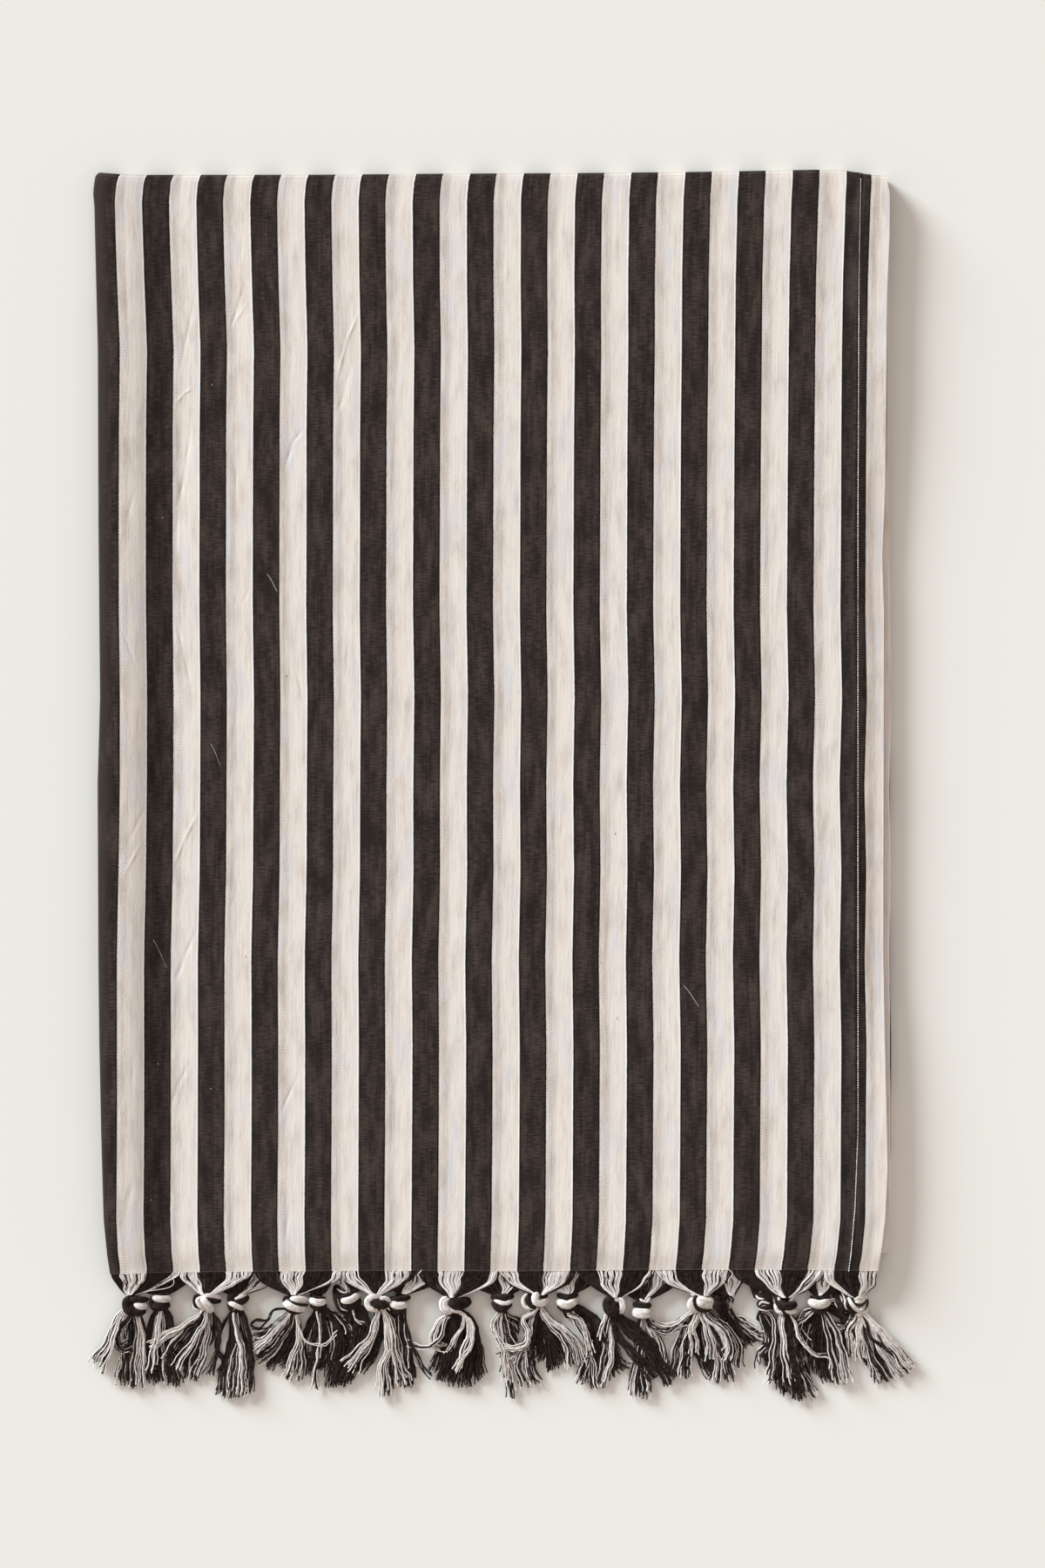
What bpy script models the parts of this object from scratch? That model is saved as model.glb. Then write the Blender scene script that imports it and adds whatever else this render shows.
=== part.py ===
"""Hammam towel, folded flat: one striped cotton cloth with two rows of knotted tassels.

The cloth is doubled down its length, with that fold on the left, and then folded in
three, so six plies lie on each other. Both plies of the fringed end lie on top and hang
just past the bottom fold, and each carries its own row of tassels.

Frame: +Z up, +Y from the tassels to the top fold, +X to the hemmed edge. The origin is
under the middle of the towel, on the surface that it lies on.
"""

import math

import bmesh
import bpy
import numpy as np

MM = 0.001

# ---- driving dimensions, in millimetres ----
SHEET = 1.0            # thickness of one ply
PLY_GAP = 0.7          # air between two plies
PITCH = SHEET + PLY_GAP
HALF_SHEET = SHEET / 2
HALF_PITCH = PITCH / 2
SECTION_WIDTH = 451.0  # folded width, from the doubling fold to the hemmed edge
TOP_FOLD_Y = 352.4     # outermost line of the upper cross fold
BOTTOM_FOLD_Y = -267.6 # outermost line of the lower cross fold
WOVEN_END_Y = -278.1   # last weft thread, where the fringe starts
TUCKED_END_Y = 280.0   # plain end, hidden inside
HEM_WIDTH = 17.0       # turned under along the right edge
HEM_STEP = 3.0         # length of the step up to the hem
HEM_RISE = 0.28        # share by which the stack is thicker over the hems
INNER_HEM_SETBACK = 1.2
END_DROOP = 1.3        # how far the fringed end sinks past the bottom fold
DROOP_START_Y = -265.0
TOUCH_GAP = 0.3        # air between pieces that touch on the real towel

# Centre heights of the doubled cloth in its three sections, and the two cross folds.
UPPER_Z = HALF_SHEET + 4.5 * PITCH
LOWER_Z = HALF_SHEET + 0.5 * PITCH
TUCKED_Z = HALF_SHEET + 2.5 * PITCH
TOP_FOLD_RADIUS = (UPPER_Z - LOWER_Z) / 2
BOTTOM_FOLD_RADIUS = (TUCKED_Z - LOWER_Z) / 2
FOLD_MARGIN = HALF_PITCH + HALF_SHEET

# Outlines of the folded towel, each a table of (y, x) from the top fold down.
LEFT_FOLD = (
    (353.4, -231.4), (349.6, -233.8), (340.9, -235.0), (332.4, -234.2), (292.4, -233.2),
    (252.4, -232.2), (152.4, -231.8), (52.4, -230.8), (2.4, -232.2), (-97.6, -231.8),
    (-147.6, -231.2), (-197.6, -230.2), (-247.6, -228.8), (-267.6, -226.8), (-278.1, -225.2),
)
UPPER_HEM = (
    (349.0, 220.8), (342.4, 222.4), (317.4, 222.2), (282.4, 220.8), (172.4, 219.8),
    (132.4, 218.2), (102.4, 219.2), (-97.6, 218.8), (-172.6, 220.2), (-217.6, 221.2),
    (-247.6, 219.8), (-262.6, 218.0), (-278.1, 215.8),
)
UNDER_HEM = ((352.4, 220.8), (172.4, 221.8), (82.4, 222.8), (-212.6, 222.8), (-267.6, 222.0))

# How far the top fold stands above its straight line, a table of (x, rise).
TOP_FOLD_RISE = (
    (-231.0, 1.0), (-219.0, 0.2), (-204.0, 0.0), (102.0, -0.2), (134.0, 0.5),
    (166.0, 1.0), (181.0, 1.2), (196.0, 0.5), (211.0, -2.8), (221.0, -3.5),
)
TOP_RISE_START_Y = 200.0

# Soft swells of the stack: (centre x, centre y, reach, share of the height).
SWELLS = (
    (-205.0, 300.0, 70.0, 0.07),
    (-120.0, 190.0, 60.0, 0.05),
    (60.0, 60.0, 120.0, -0.04),
    (-190.0, -150.0, 80.0, 0.05),
    (150.0, -200.0, 90.0, 0.04),
    (110.0, 310.0, 90.0, 0.06),
)

# ---- steps of the mesh, in millimetres or counts ----
PLY_COLUMNS = (40.0, 110.0, 180.0, 250.0, 320.0, 390.0)
UPPER_ROWS = (-278.1, -274.0, -269.5, -264.0, -215.0, -150.0, -80.0, 0.0, 80.0, 160.0, 235.0,
              295.0, 330.0)
LOWER_ROWS = (330.0, 295.0, 200.0, 100.0, 0.0, -100.0, -200.0)
TUCKED_ROWS = (-200.0, -80.0, 40.0, 160.0, 240.0)
DOUBLING_STEPS = 4
TOP_FOLD_STEPS = 6
BOTTOM_FOLD_STEPS = 4

# ---- tassels, in millimetres ----
# Where a tassel's warp gathers: (name, left and right end on the woven edge, knot x, knot y),
# then its tail: (left tip x, left tip y, right tip x, right tip y, pairs of locks).
TASSELS = (
    ("tassel_front_01", -224.6, -184.8, -213.2, -296.1, -235.0, -340.0, -208.2, -345.0, 6),
    ("tassel_front_02", -184.8, -142.8, -169.8, -296.1, -182.2, -335.0, -165.2, -340.0, 4),
    ("tassel_front_03", -142.8, -91.8, -119.8, -296.1, -141.8, -325.6, -117.2, -341.0, 5),
    ("tassel_front_04", -91.8, -48.8, -72.2, -296.1, -86.8, -335.0, -59.2, -350.0, 6),
    ("tassel_front_05", -48.8, -2.2, -28.2, -297.6, -40.2, -342.6, -10.2, -347.6, 6),
    ("tassel_front_06", -2.2, 42.8, 21.8, -296.1, 8.8, -349.0, 38.0, -331.0, 6),
    ("tassel_front_07", 42.8, 87.2, 65.8, -297.6, 59.2, -342.6, 79.8, -345.0, 5),
    ("tassel_front_08", 87.2, 132.2, 115.8, -296.6, 100.2, -336.0, 134.6, -342.0, 6),
    ("tassel_front_09", 132.2, 184.8, 162.8, -297.6, 158.0, -343.0, 181.2, -353.4, 5),
    ("tassel_front_10", 184.8, 215.4, 204.2, -297.6, 201.8, -335.0, 235.0, -340.0, 6),
    ("tassel_back_01", -224.4, -174.8, -195.8, -296.6, -204.2, -339.0, -185.2, -342.6, 4),
    ("tassel_back_02", -174.8, -129.2, -153.2, -296.6, -162.4, -347.6, -144.6, -347.6, 4),
    ("tassel_back_03", -129.2, -95.8, -105.4, -295.6, -115.2, -346.6, -105.2, -346.6, 3),
    ("tassel_back_04", -95.8, -71.8, -86.4, -294.6, -102.6, -341.6, -91.2, -341.6, 3),
    ("tassel_back_05", -71.8, -28.2, -56.8, -295.6, -56.4, -342.6, -43.4, -340.0, 3),
    ("tassel_back_06", -28.2, 19.2, 0.2, -297.1, -7.4, -347.6, 5.8, -347.6, 3),
    ("tassel_back_07", 19.2, 59.2, 38.2, -296.1, 43.8, -341.0, 56.4, -343.0, 3),
    ("tassel_back_08", 59.2, 105.2, 80.8, -299.6, 82.4, -350.0, 97.4, -347.6, 4),
    ("tassel_back_09", 105.2, 139.8, 130.8, -296.6, 137.8, -325.0, 145.8, -328.0, 2),
    ("tassel_back_10", 139.8, 167.8, 147.8, -298.1, 148.8, -336.6, 155.4, -338.0, 2),
    ("tassel_back_11", 167.8, 214.4, 182.8, -296.6, 184.4, -342.6, 199.0, -342.6, 4),
)
FAN_SHARES = (0.0, 0.35, 0.62, 0.85)  # stations of the gathered warp, as shares of its length
FAN_CURVE = 1.7                      # how late the sides of the gathered warp draw in
FAN_THICKENING = 0.85                # share of the fan where it starts to round up
LOCK_ROWS = 2
LOCK_WIDTH_ROOT = 0.9
LOCK_WIDTH_TIP = 0.58                # share of the room that each tip has
LOCK_WIDTH_LIMITS = (0.75, 1.5)
LOCK_HEIGHT = 1.1
LOCK_STATIONS = (0.3, 0.62, 1.0)     # stations of a lock, as shares of its length
LOCK_SPLAY = 0.7                     # under 1, locks spread early and then run straight
LANDING = ((0.05, 0.45), (0.3, 0.95))  # where each row of locks leaves its height and lands
CAP_INSET = 0.28                     # rim left round each lock's root
LOCK_UNEVENNESS = 2.2                # how far the tips stand out of their line
LOCK_BOW = 1.1                       # sideways bow of a whole tail
TURN_PER_LOCK = 2.4                  # radians; steps the unevenness from lock to lock
TURN_PER_MM = 0.35                   # radians; steps the bow from tassel to tassel


class Row:
    """Sizes that differ between the tassels of the front ply and of the back ply."""

    def __init__(self, ply, neck_z, fall, stations):
        self.ply_z = HALF_SHEET + ply * PITCH
        self.neck_z = neck_z
        self.fall = fall
        self.stations = stations


# Knot and tail head, past the knot's top: (forward, half width, half height, centre z,
# roundness, slant). The slant lays the knot's two wraps across the tassel.
FRONT_ROW = Row(5, 5.0, 1.0, (
    (0.0, 3.4, 2.8, 5.0, 1.0, 0.1),
    (1.8, 6.5, 4.6, 4.7, 0.9, 0.3),
    (4.6, 6.3, 4.6, 4.6, 0.9, 0.3),
    (6.0, 4.9, 3.9, 4.3, 0.9, 0.3),
    (7.6, 6.6, 4.5, 4.5, 0.9, 0.25),
    (10.4, 6.0, 4.2, 4.2, 0.9, 0.15),
    (12.2, 4.2, 3.2, 3.4, 0.9, 0.0),
    (14.6, 5.4, 2.7, 2.7, 0.5, 0.0),
))
BACK_ROW = Row(4, 3.3, 1.7, (
    (0.0, 3.2, 2.3, 3.3, 1.0, -0.1),
    (1.8, 5.8, 4.0, 4.0, 0.9, -0.25),
    (5.2, 5.6, 4.0, 4.0, 0.9, -0.25),
    (6.6, 4.5, 3.4, 3.8, 0.9, -0.2),
    (8.2, 5.7, 3.9, 3.9, 0.9, -0.15),
    (11.2, 4.0, 3.0, 3.2, 0.9, 0.0),
    (13.6, 4.6, 2.4, 2.4, 0.5, 0.0),
))
KNOT_HALF_LENGTH = 6.0

COLOURS = {  # linear RGB of the finished piece's main yarn
    "cloth": (0.70, 0.64, 0.58),
    "fringe": (0.045, 0.032, 0.027),
}


def clear_scene():
    for thing in list(bpy.data.objects):
        bpy.data.objects.remove(thing, do_unlink=True)


def make_material(name, roughness):
    material = bpy.data.materials.new(name)
    material.use_nodes = True
    shader = material.node_tree.nodes["Principled BSDF"]
    shader.inputs["Base Color"].default_value = (*COLOURS[name], 1.0)
    shader.inputs["Roughness"].default_value = roughness
    shader.inputs["Metallic"].default_value = 0.0
    return material


def smooth(share):
    """Ease from 0 to 1."""
    share = min(1.0, max(0.0, share))
    return share * share * (3 - 2 * share)


def read_table(table, place):
    """Value of a two-column table at a place, straight between its rows."""
    rows = sorted(table)
    return float(np.interp(place, [row[0] for row in rows], [row[1] for row in rows]))


def stack_height(x, y, z):
    """Height at which a point of the evenly stacked plies ends up in the uneven stack."""
    share = sum(gain * math.exp(-((x - cx) ** 2 + (y - cy) ** 2) / reach ** 2)
                for cx, cy, reach, gain in SWELLS)
    left, right = read_table(LEFT_FOLD, y), read_table(UPPER_HEM, y)
    hem_start = right - (HEM_WIDTH + HEM_STEP) * (right - left) / SECTION_WIDTH
    share += HEM_RISE * smooth((x - hem_start) / HEM_STEP)
    droop = END_DROOP * smooth((DROOP_START_Y - y) / (DROOP_START_Y - WOVEN_END_Y))
    return z * (1 + share) - droop * (z > (TUCKED_Z + UPPER_Z) / 2)


# ---- one way to build every piece: a flat section, extruded from station to station ----
def sweep(bm, faces, stations, place):
    """Extrude the section's faces through the stations, and return the last faces."""
    across = bm.verts.layers.float["across"]
    up = bm.verts.layers.float["up"]
    for number, station in enumerate(stations):
        if number:
            made = bmesh.ops.extrude_face_region(bm, geom=faces)["geom"]
            if number > 1:
                bmesh.ops.delete(bm, geom=faces, context="FACES")
            faces = [item for item in made if isinstance(item, bmesh.types.BMFace)]
        for vert in {vert for face in faces for vert in face.verts}:
            vert.co = [MM * size for size in place(vert[across], vert[up], station)]
    return faces


def new_section(rows):
    """A strip or grid of quads; rows holds lists of (across, up) of equal length."""
    bm = bmesh.new()
    across = bm.verts.layers.float.new("across")
    up = bm.verts.layers.float.new("up")
    grid = []
    for row in rows:
        grid.append([])
        for place_across, place_up in row:
            vert = bm.verts.new((place_across, place_up, 0.0))
            vert[across] = place_across
            vert[up] = place_up
            grid[-1].append(vert)
    faces = [bm.faces.new((grid[j][i], grid[j][i + 1], grid[j + 1][i + 1], grid[j + 1][i]))
             for j in range(len(grid) - 1) for i in range(len(grid[0]) - 1)]
    return bm, faces


def finish_object(bm, name, material):
    bmesh.ops.recalc_face_normals(bm, faces=bm.faces)
    mesh = bpy.data.meshes.new(name)
    bm.to_mesh(mesh)
    bm.free()
    mesh.shade_smooth()
    mesh.set_sharp_from_angle(angle=math.radians(40))
    mesh.materials.append(material)
    piece = bpy.data.objects.new(name, mesh)
    bpy.context.collection.objects.link(piece)
    return piece


# ---- the cloth ----
def doubled_section():
    """The two plies and the doubling fold, as (across, up) on both faces of the sheet."""
    columns = [SECTION_WIDTH, SECTION_WIDTH - HEM_WIDTH, SECTION_WIDTH - HEM_WIDTH - HEM_STEP]
    columns += sorted(PLY_COLUMNS, reverse=True)
    middle = [(place, HALF_PITCH, 90.0) for place in columns]
    for step in range(DOUBLING_STEPS + 1):
        angle = 90.0 + 180.0 * step / DOUBLING_STEPS
        middle.append((FOLD_MARGIN + HALF_PITCH * math.cos(math.radians(angle)),
                       HALF_PITCH * math.sin(math.radians(angle)), angle))
    middle += [(place - INNER_HEM_SETBACK * (place == SECTION_WIDTH), -HALF_PITCH, 270.0)
               for place in reversed(columns)]
    return [[(place + side * HALF_SHEET * math.cos(math.radians(angle)),
              height + side * HALF_SHEET * math.sin(math.radians(angle)))
             for place, height, angle in middle] for side in (1, -1)]


def fold_path():
    """Stations of the doubled cloth: (y, z, heading in degrees, share of the under hem)."""
    top_y = TOP_FOLD_Y - TOP_FOLD_RADIUS - FOLD_MARGIN
    bottom_y = BOTTOM_FOLD_Y + BOTTOM_FOLD_RADIUS + FOLD_MARGIN
    path = [(y, UPPER_Z, 0.0, 0.0) for y in UPPER_ROWS]
    path += turn(top_y, (UPPER_Z + LOWER_Z) / 2, TOP_FOLD_RADIUS, 0.0, TOP_FOLD_STEPS)
    path += [(y, LOWER_Z, -180.0, 1.0) for y in LOWER_ROWS]
    path += turn(bottom_y, (TUCKED_Z + LOWER_Z) / 2, BOTTOM_FOLD_RADIUS, -180.0,
                 BOTTOM_FOLD_STEPS)
    path += [(y, TUCKED_Z, -360.0, 1.0) for y in TUCKED_ROWS + (TUCKED_END_Y,)]
    return path


def turn(centre_y, centre_z, radius, heading, steps):
    """Stations round one cross fold, turning half a circle to the right."""
    stations = []
    for step in range(steps + 1):
        angle = heading - 180.0 * step / steps
        outward = math.radians(angle + 90)
        under = 1.0 if heading else step / steps
        stations.append((centre_y + radius * math.cos(outward),
                         centre_z + radius * math.sin(outward), angle, under))
    return stations


def place_cloth(across, up, station):
    """Position of a point of the doubled section at a station of the fold path."""
    centre_y, centre_z, heading, under = station
    y = centre_y - up * math.sin(math.radians(heading))
    z = centre_z + up * math.cos(math.radians(heading))
    left = read_table(LEFT_FOLD, y)
    right = read_table(UPPER_HEM, y)
    x = left + (right - left) * across / SECTION_WIDTH
    in_hem = max(0.0, 1 - (SECTION_WIDTH - across) / HEM_WIDTH)
    x += in_hem * under * (read_table(UNDER_HEM, y) - right)
    reach = smooth((y - TOP_RISE_START_Y) / (TOP_FOLD_Y - TOP_RISE_START_Y))
    y += reach * read_table(TOP_FOLD_RISE, x)
    return x, y, stack_height(x, y, z)


def build_cloth(material):
    bm, section = new_section(doubled_section())
    sweep(bm, section, fold_path(), place_cloth)
    return finish_object(bm, "cloth", material)


# ---- the tassels ----
def square_grid(columns, rows):
    """Grid of (across, up) from -1 to 1."""
    return [[(-1 + 2 * i / columns, -1 + 2 * j / rows) for i in range(columns + 1)]
            for j in range(rows + 1)]


def rounded(across, up, roundness):
    """Point of a square pulled towards the disc inside it."""
    return (across * math.sqrt(1 - roundness * up * up / 2),
            up * math.sqrt(1 - roundness * across * across / 2))


def tassel_stations(row, left, right, knot_x, knot_y):
    """Functions from (across, up) to a position, from the woven edge to the tail head."""
    start_y = WOVEN_END_Y - TOUCH_GAP
    knot_top = knot_y + KNOT_HALF_LENGTH
    _, neck_width, neck_height, _, _, _ = row.stations[0]
    places = []
    for share in FAN_SHARES:
        narrow = 1 - share ** FAN_CURVE
        fan_left = knot_x - neck_width + (left + TOUCH_GAP - knot_x + neck_width) * narrow
        fan_right = knot_x + neck_width + (right - TOUCH_GAP - knot_x - neck_width) * narrow
        round_up = smooth((share - FAN_THICKENING) / (1 - FAN_THICKENING))
        height = HALF_SHEET + (neck_height - HALF_SHEET) * round_up
        fall = smooth(share * row.fall)

        def in_fan(across, up, share=share, fan_left=fan_left, fan_right=fan_right,
                   round_up=round_up, height=height, fall=fall):
            across, up = rounded(across, up, round_up)
            x = (fan_left + fan_right) / 2 + across * (fan_right - fan_left) / 2
            edge_z = stack_height(x, WOVEN_END_Y, row.ply_z)
            return (x, start_y + (knot_top - start_y) * share,
                    edge_z + (row.neck_z - edge_z) * fall + up * height)

        places.append(in_fan)
    for forward, half_width, half_height, centre_z, roundness, slant in row.stations:

        def in_knot(across, up, forward=forward, half_width=half_width,
                    half_height=half_height, centre_z=centre_z, roundness=roundness,
                    slant=slant):
            across, up = rounded(across, up, roundness)
            return (knot_x + across * half_width,
                    knot_top - forward + slant * across * half_width,
                    max(0.0, centre_z + up * half_height))

        places.append(in_knot)
    return places


def lock_section(root, tip, row_number, share, width, bow):
    """Four corners, keyed by (side, level), of a lock at a share of its length."""
    splay = share ** LOCK_SPLAY
    x = root[0] + (tip[0] - root[0]) * splay + bow * math.sin(math.pi * share)
    y = root[1] + (tip[1] - root[1]) * share
    leave, land = LANDING[row_number]
    floor = LOCK_HEIGHT / 2
    z = root[2] + (floor - root[2]) * smooth((share - leave) / (land - leave))
    slope = (tip[0] - root[0]) * LOCK_SPLAY * share ** (LOCK_SPLAY - 1)
    slope += bow * math.pi * math.cos(math.pi * share)
    run = tip[1] - root[1]
    length = math.hypot(slope, run)
    side_x, side_y = -run / length, slope / length
    corners = {}
    for side in (-1, 1):
        for level in (-1, 1):
            corners[(side, level)] = (x + side * side_x * width / 2,
                                      y + side * side_y * width / 2,
                                      max(0.0, z + level * LOCK_HEIGHT / 2))
    return corners


def build_locks(bm, faces, tail, columns):
    """Inset each face of the tail head, and extrude it as one lock down to the floor."""
    left_x, left_y, right_x, right_y = tail
    count = columns * LOCK_ROWS
    lean = math.atan2((left_x + right_x) / 2 - faces[0].calc_center_median().x / MM,
                      faces[0].calc_center_median().y / MM - (left_y + right_y) / 2)
    room = abs(right_x - left_x) / (count - 1) * math.cos(lean)
    bow = LOCK_BOW * math.sin(TURN_PER_MM * left_x)
    low, high = LOCK_WIDTH_LIMITS
    tip_width = min(high, max(low, LOCK_WIDTH_TIP * room))
    bmesh.ops.inset_individual(bm, faces=faces, thickness=CAP_INSET * MM, depth=0.0)
    for number, face in enumerate(faces):
        row_number, column = divmod(number, columns)
        order = column * LOCK_ROWS + row_number
        share = order / (count - 1)
        root = [size / MM for size in face.calc_center_median()]
        tip = (left_x + (right_x - left_x) * share, left_y + (right_y - left_y) * share)
        run = math.dist(root[:2], tip)
        longer = 1 + LOCK_UNEVENNESS * math.sin(TURN_PER_LOCK * order + left_x) / run
        tip = [start + (end - start) * longer for start, end in zip(root, tip)]
        for station in LOCK_STATIONS:
            face = bmesh.ops.extrude_discrete_faces(bm, faces=[face])["faces"][0]
            width = LOCK_WIDTH_ROOT + (tip_width - LOCK_WIDTH_ROOT) * station
            corners = lock_section(root, tip, row_number, station, width, bow)
            middle = face.calc_center_median()
            for vert in face.verts:
                key = (1 if vert.co.x > middle.x else -1, 1 if vert.co.z > middle.z else -1)
                vert.co = [MM * size for size in corners[key]]


def build_tassel(spec, material):
    name, left, right, knot_x, knot_y, *tail, columns = spec
    row = FRONT_ROW if "front" in name else BACK_ROW
    bm, section = new_section(square_grid(columns, LOCK_ROWS))
    places = tassel_stations(row, left, right, knot_x, knot_y)
    faces = sweep(bm, section, places, lambda across, up, place: place(across, up))
    across = bm.verts.layers.float["across"]
    up = bm.verts.layers.float["up"]
    faces.sort(key=lambda face: (round(sum(vert[up] for vert in face.verts), 3),
                                 sum(vert[across] for vert in face.verts)))
    build_locks(bm, faces, tail, columns)
    return finish_object(bm, name, material)


def main():
    clear_scene()
    cloth_material = make_material("cloth", 0.9)
    fringe_material = make_material("fringe", 0.95)
    build_cloth(cloth_material)
    for spec in TASSELS:
        build_tassel(spec, fringe_material)


main()
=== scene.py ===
"""Hammam towel, folded flat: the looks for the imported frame.

The towel is one length of striped cotton, doubled down its length and folded in three,
with both plies of its fringed end on top. Each ply's warp is gathered and tied in a row of
tassels. Sizes are in millimetres; +Y runs from the tassels to the upper cross fold and +X
from the doubling fold to the hemmed edge.
"""

from __future__ import annotations

import functools
import logging
import math
import random
from dataclasses import dataclass, field
from enum import Enum

import bpy
import numpy as np
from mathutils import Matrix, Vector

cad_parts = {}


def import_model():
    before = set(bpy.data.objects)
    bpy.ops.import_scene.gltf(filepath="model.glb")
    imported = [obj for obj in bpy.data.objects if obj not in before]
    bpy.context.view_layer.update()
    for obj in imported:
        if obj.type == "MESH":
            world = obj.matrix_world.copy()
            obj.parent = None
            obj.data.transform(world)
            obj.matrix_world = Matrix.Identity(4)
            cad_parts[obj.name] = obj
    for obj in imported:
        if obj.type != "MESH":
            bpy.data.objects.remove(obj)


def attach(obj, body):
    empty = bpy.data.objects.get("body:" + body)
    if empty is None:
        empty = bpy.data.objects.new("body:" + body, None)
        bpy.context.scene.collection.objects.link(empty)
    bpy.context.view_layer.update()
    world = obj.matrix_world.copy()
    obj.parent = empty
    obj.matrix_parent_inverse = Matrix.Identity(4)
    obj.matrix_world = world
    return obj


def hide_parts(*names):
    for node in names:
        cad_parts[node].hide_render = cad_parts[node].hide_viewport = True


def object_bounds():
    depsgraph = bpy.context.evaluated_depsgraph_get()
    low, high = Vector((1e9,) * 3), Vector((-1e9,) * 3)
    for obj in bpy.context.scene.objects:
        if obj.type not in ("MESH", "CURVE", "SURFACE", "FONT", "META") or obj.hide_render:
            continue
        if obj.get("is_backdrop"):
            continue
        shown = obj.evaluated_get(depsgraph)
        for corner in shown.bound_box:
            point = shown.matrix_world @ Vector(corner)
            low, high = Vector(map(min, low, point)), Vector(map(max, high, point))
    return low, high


MM = 0.001
LOG = logging.getLogger("towel")
Point = tuple[float, float]
Table = tuple[Point, ...]
TURN = 6.28                       # a full turn, for phases drawn at random
RGBA = {"data_type": "RGBA"}
SMOOTH = {"interpolation_type": "SMOOTHSTEP"}
SUBTRACT, ABSOLUTE, MULTIPLY, MAXIMUM, MULTIPLY_ADD = (
    {"operation": name}
    for name in ("SUBTRACT", "ABSOLUTE", "MULTIPLY", "MAXIMUM", "MULTIPLY_ADD"))


# ---- small helpers -------------------------------------------------------------------------
def ease(share: np.ndarray | float) -> np.ndarray:
    """Ease from 0 to 1, for one share or many."""
    share = np.clip(share, 0.0, 1.0)
    return share * share * (3 - 2 * share)


def read_table(table: Table, place: np.ndarray | float) -> np.ndarray:
    """Read a two-column table at one or many places.

    Args:
        table: rows of (place, value), in any order.
        place: where to read it.

    Returns:
        The values, straight between the table's rows.
    """
    rows = np.array(sorted(table))
    return np.interp(place, rows[:, 0], rows[:, 1])


def linear_colour(code: str) -> tuple[float, float, float, float]:
    """Turn an sRGB hex colour into linear values.

    Args:
        code: six hex digits after a "#".

    Returns:
        Red, green, blue and an alpha of 1, linear.
    """
    shares = [int(code[start:start + 2], 16) / 255 for start in (1, 3, 5)]
    linear = [share / 12.92 if share <= 0.04045 else ((share + 0.055) / 1.055) ** 2.4
              for share in shares]
    return (*linear, 1.0)


def add_node(tree: bpy.types.NodeTree, kind: str, settings: dict | None = None,
             inputs: dict | None = None) -> bpy.types.Node:
    """Add one node to a tree.

    Args:
        tree: the node tree.
        kind: the node's type name, without its "ShaderNode" prefix.
        settings: properties of the node, by name.
        inputs: values, output sockets or nodes, by the input's name or number; a node
            gives the first output that it has in use.

    Returns:
        The new node.
    """
    node = tree.nodes.new("ShaderNode" + kind)
    for name, value in (settings or {}).items():
        setattr(node, name, value)
    for name, value in (inputs or {}).items():
        if isinstance(value, bpy.types.Node):
            value = next(socket for socket in value.outputs if socket.enabled)
        if isinstance(value, bpy.types.NodeSocket):
            tree.links.new(value, node.inputs[name])
        else:
            node.inputs[name].default_value = value
    return node


def start_material(name: str, settings: dict) -> bpy.types.Material:
    """Start a material, with its shader's inputs set by name."""
    material = bpy.data.materials.new(name)
    material.use_nodes = True
    shader = material.node_tree.nodes["Principled BSDF"]
    for key, value in settings.items():
        shader.inputs[key].default_value = value
    return material


def finish_material(material: bpy.types.Material, colour: bpy.types.Node,
                    bump: bpy.types.Node) -> bpy.types.Material:
    """Link a material's colour and bump to its shader."""
    shader = material.node_tree.nodes["Principled BSDF"]
    material.node_tree.links.new(colour.outputs[2], shader.inputs["Base Color"])
    material.node_tree.links.new(bump.outputs[0], shader.inputs["Normal"])
    return material


def smooth_route(points: list[tuple[float, ...]], count: int) -> np.ndarray:
    """Lay a smooth curve through a few points.

    Args:
        points: the points that the curve passes.
        count: how many points of the curve to give back, evenly spread by chord.

    Returns:
        An array of points on the curve.
    """
    knots = np.array(points, dtype=float)
    chords = np.linalg.norm(np.diff(knots, axis=0), axis=1)
    places = np.concatenate([[0.0], np.cumsum(np.maximum(chords, 1e-6))])
    slopes = np.gradient(knots, places, axis=0)
    at = np.linspace(0.0, places[-1], count)
    span = np.clip(np.searchsorted(places, at, side="right") - 1, 0, len(knots) - 2)
    width = (places[span + 1] - places[span])[:, None]
    share = ((at - places[span])[:, None]) / width
    square, cube = share ** 2, share ** 3
    start, end = knots[span], knots[span + 1]
    return ((2 * cube - 3 * square + 1) * start
            + (cube - 2 * square + share) * width * slopes[span]
            + (3 * square - 2 * cube) * end
            + (cube - square) * width * slopes[span + 1])


def add_object(name: str, data: bpy.types.ID) -> bpy.types.Object:
    """Add an object to the scene, alone selected and active."""
    piece = bpy.data.objects.new(name, data)
    bpy.context.collection.objects.link(piece)
    bpy.ops.object.select_all(action="DESELECT")
    piece.select_set(True)
    bpy.context.view_layer.objects.active = piece
    return piece


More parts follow.
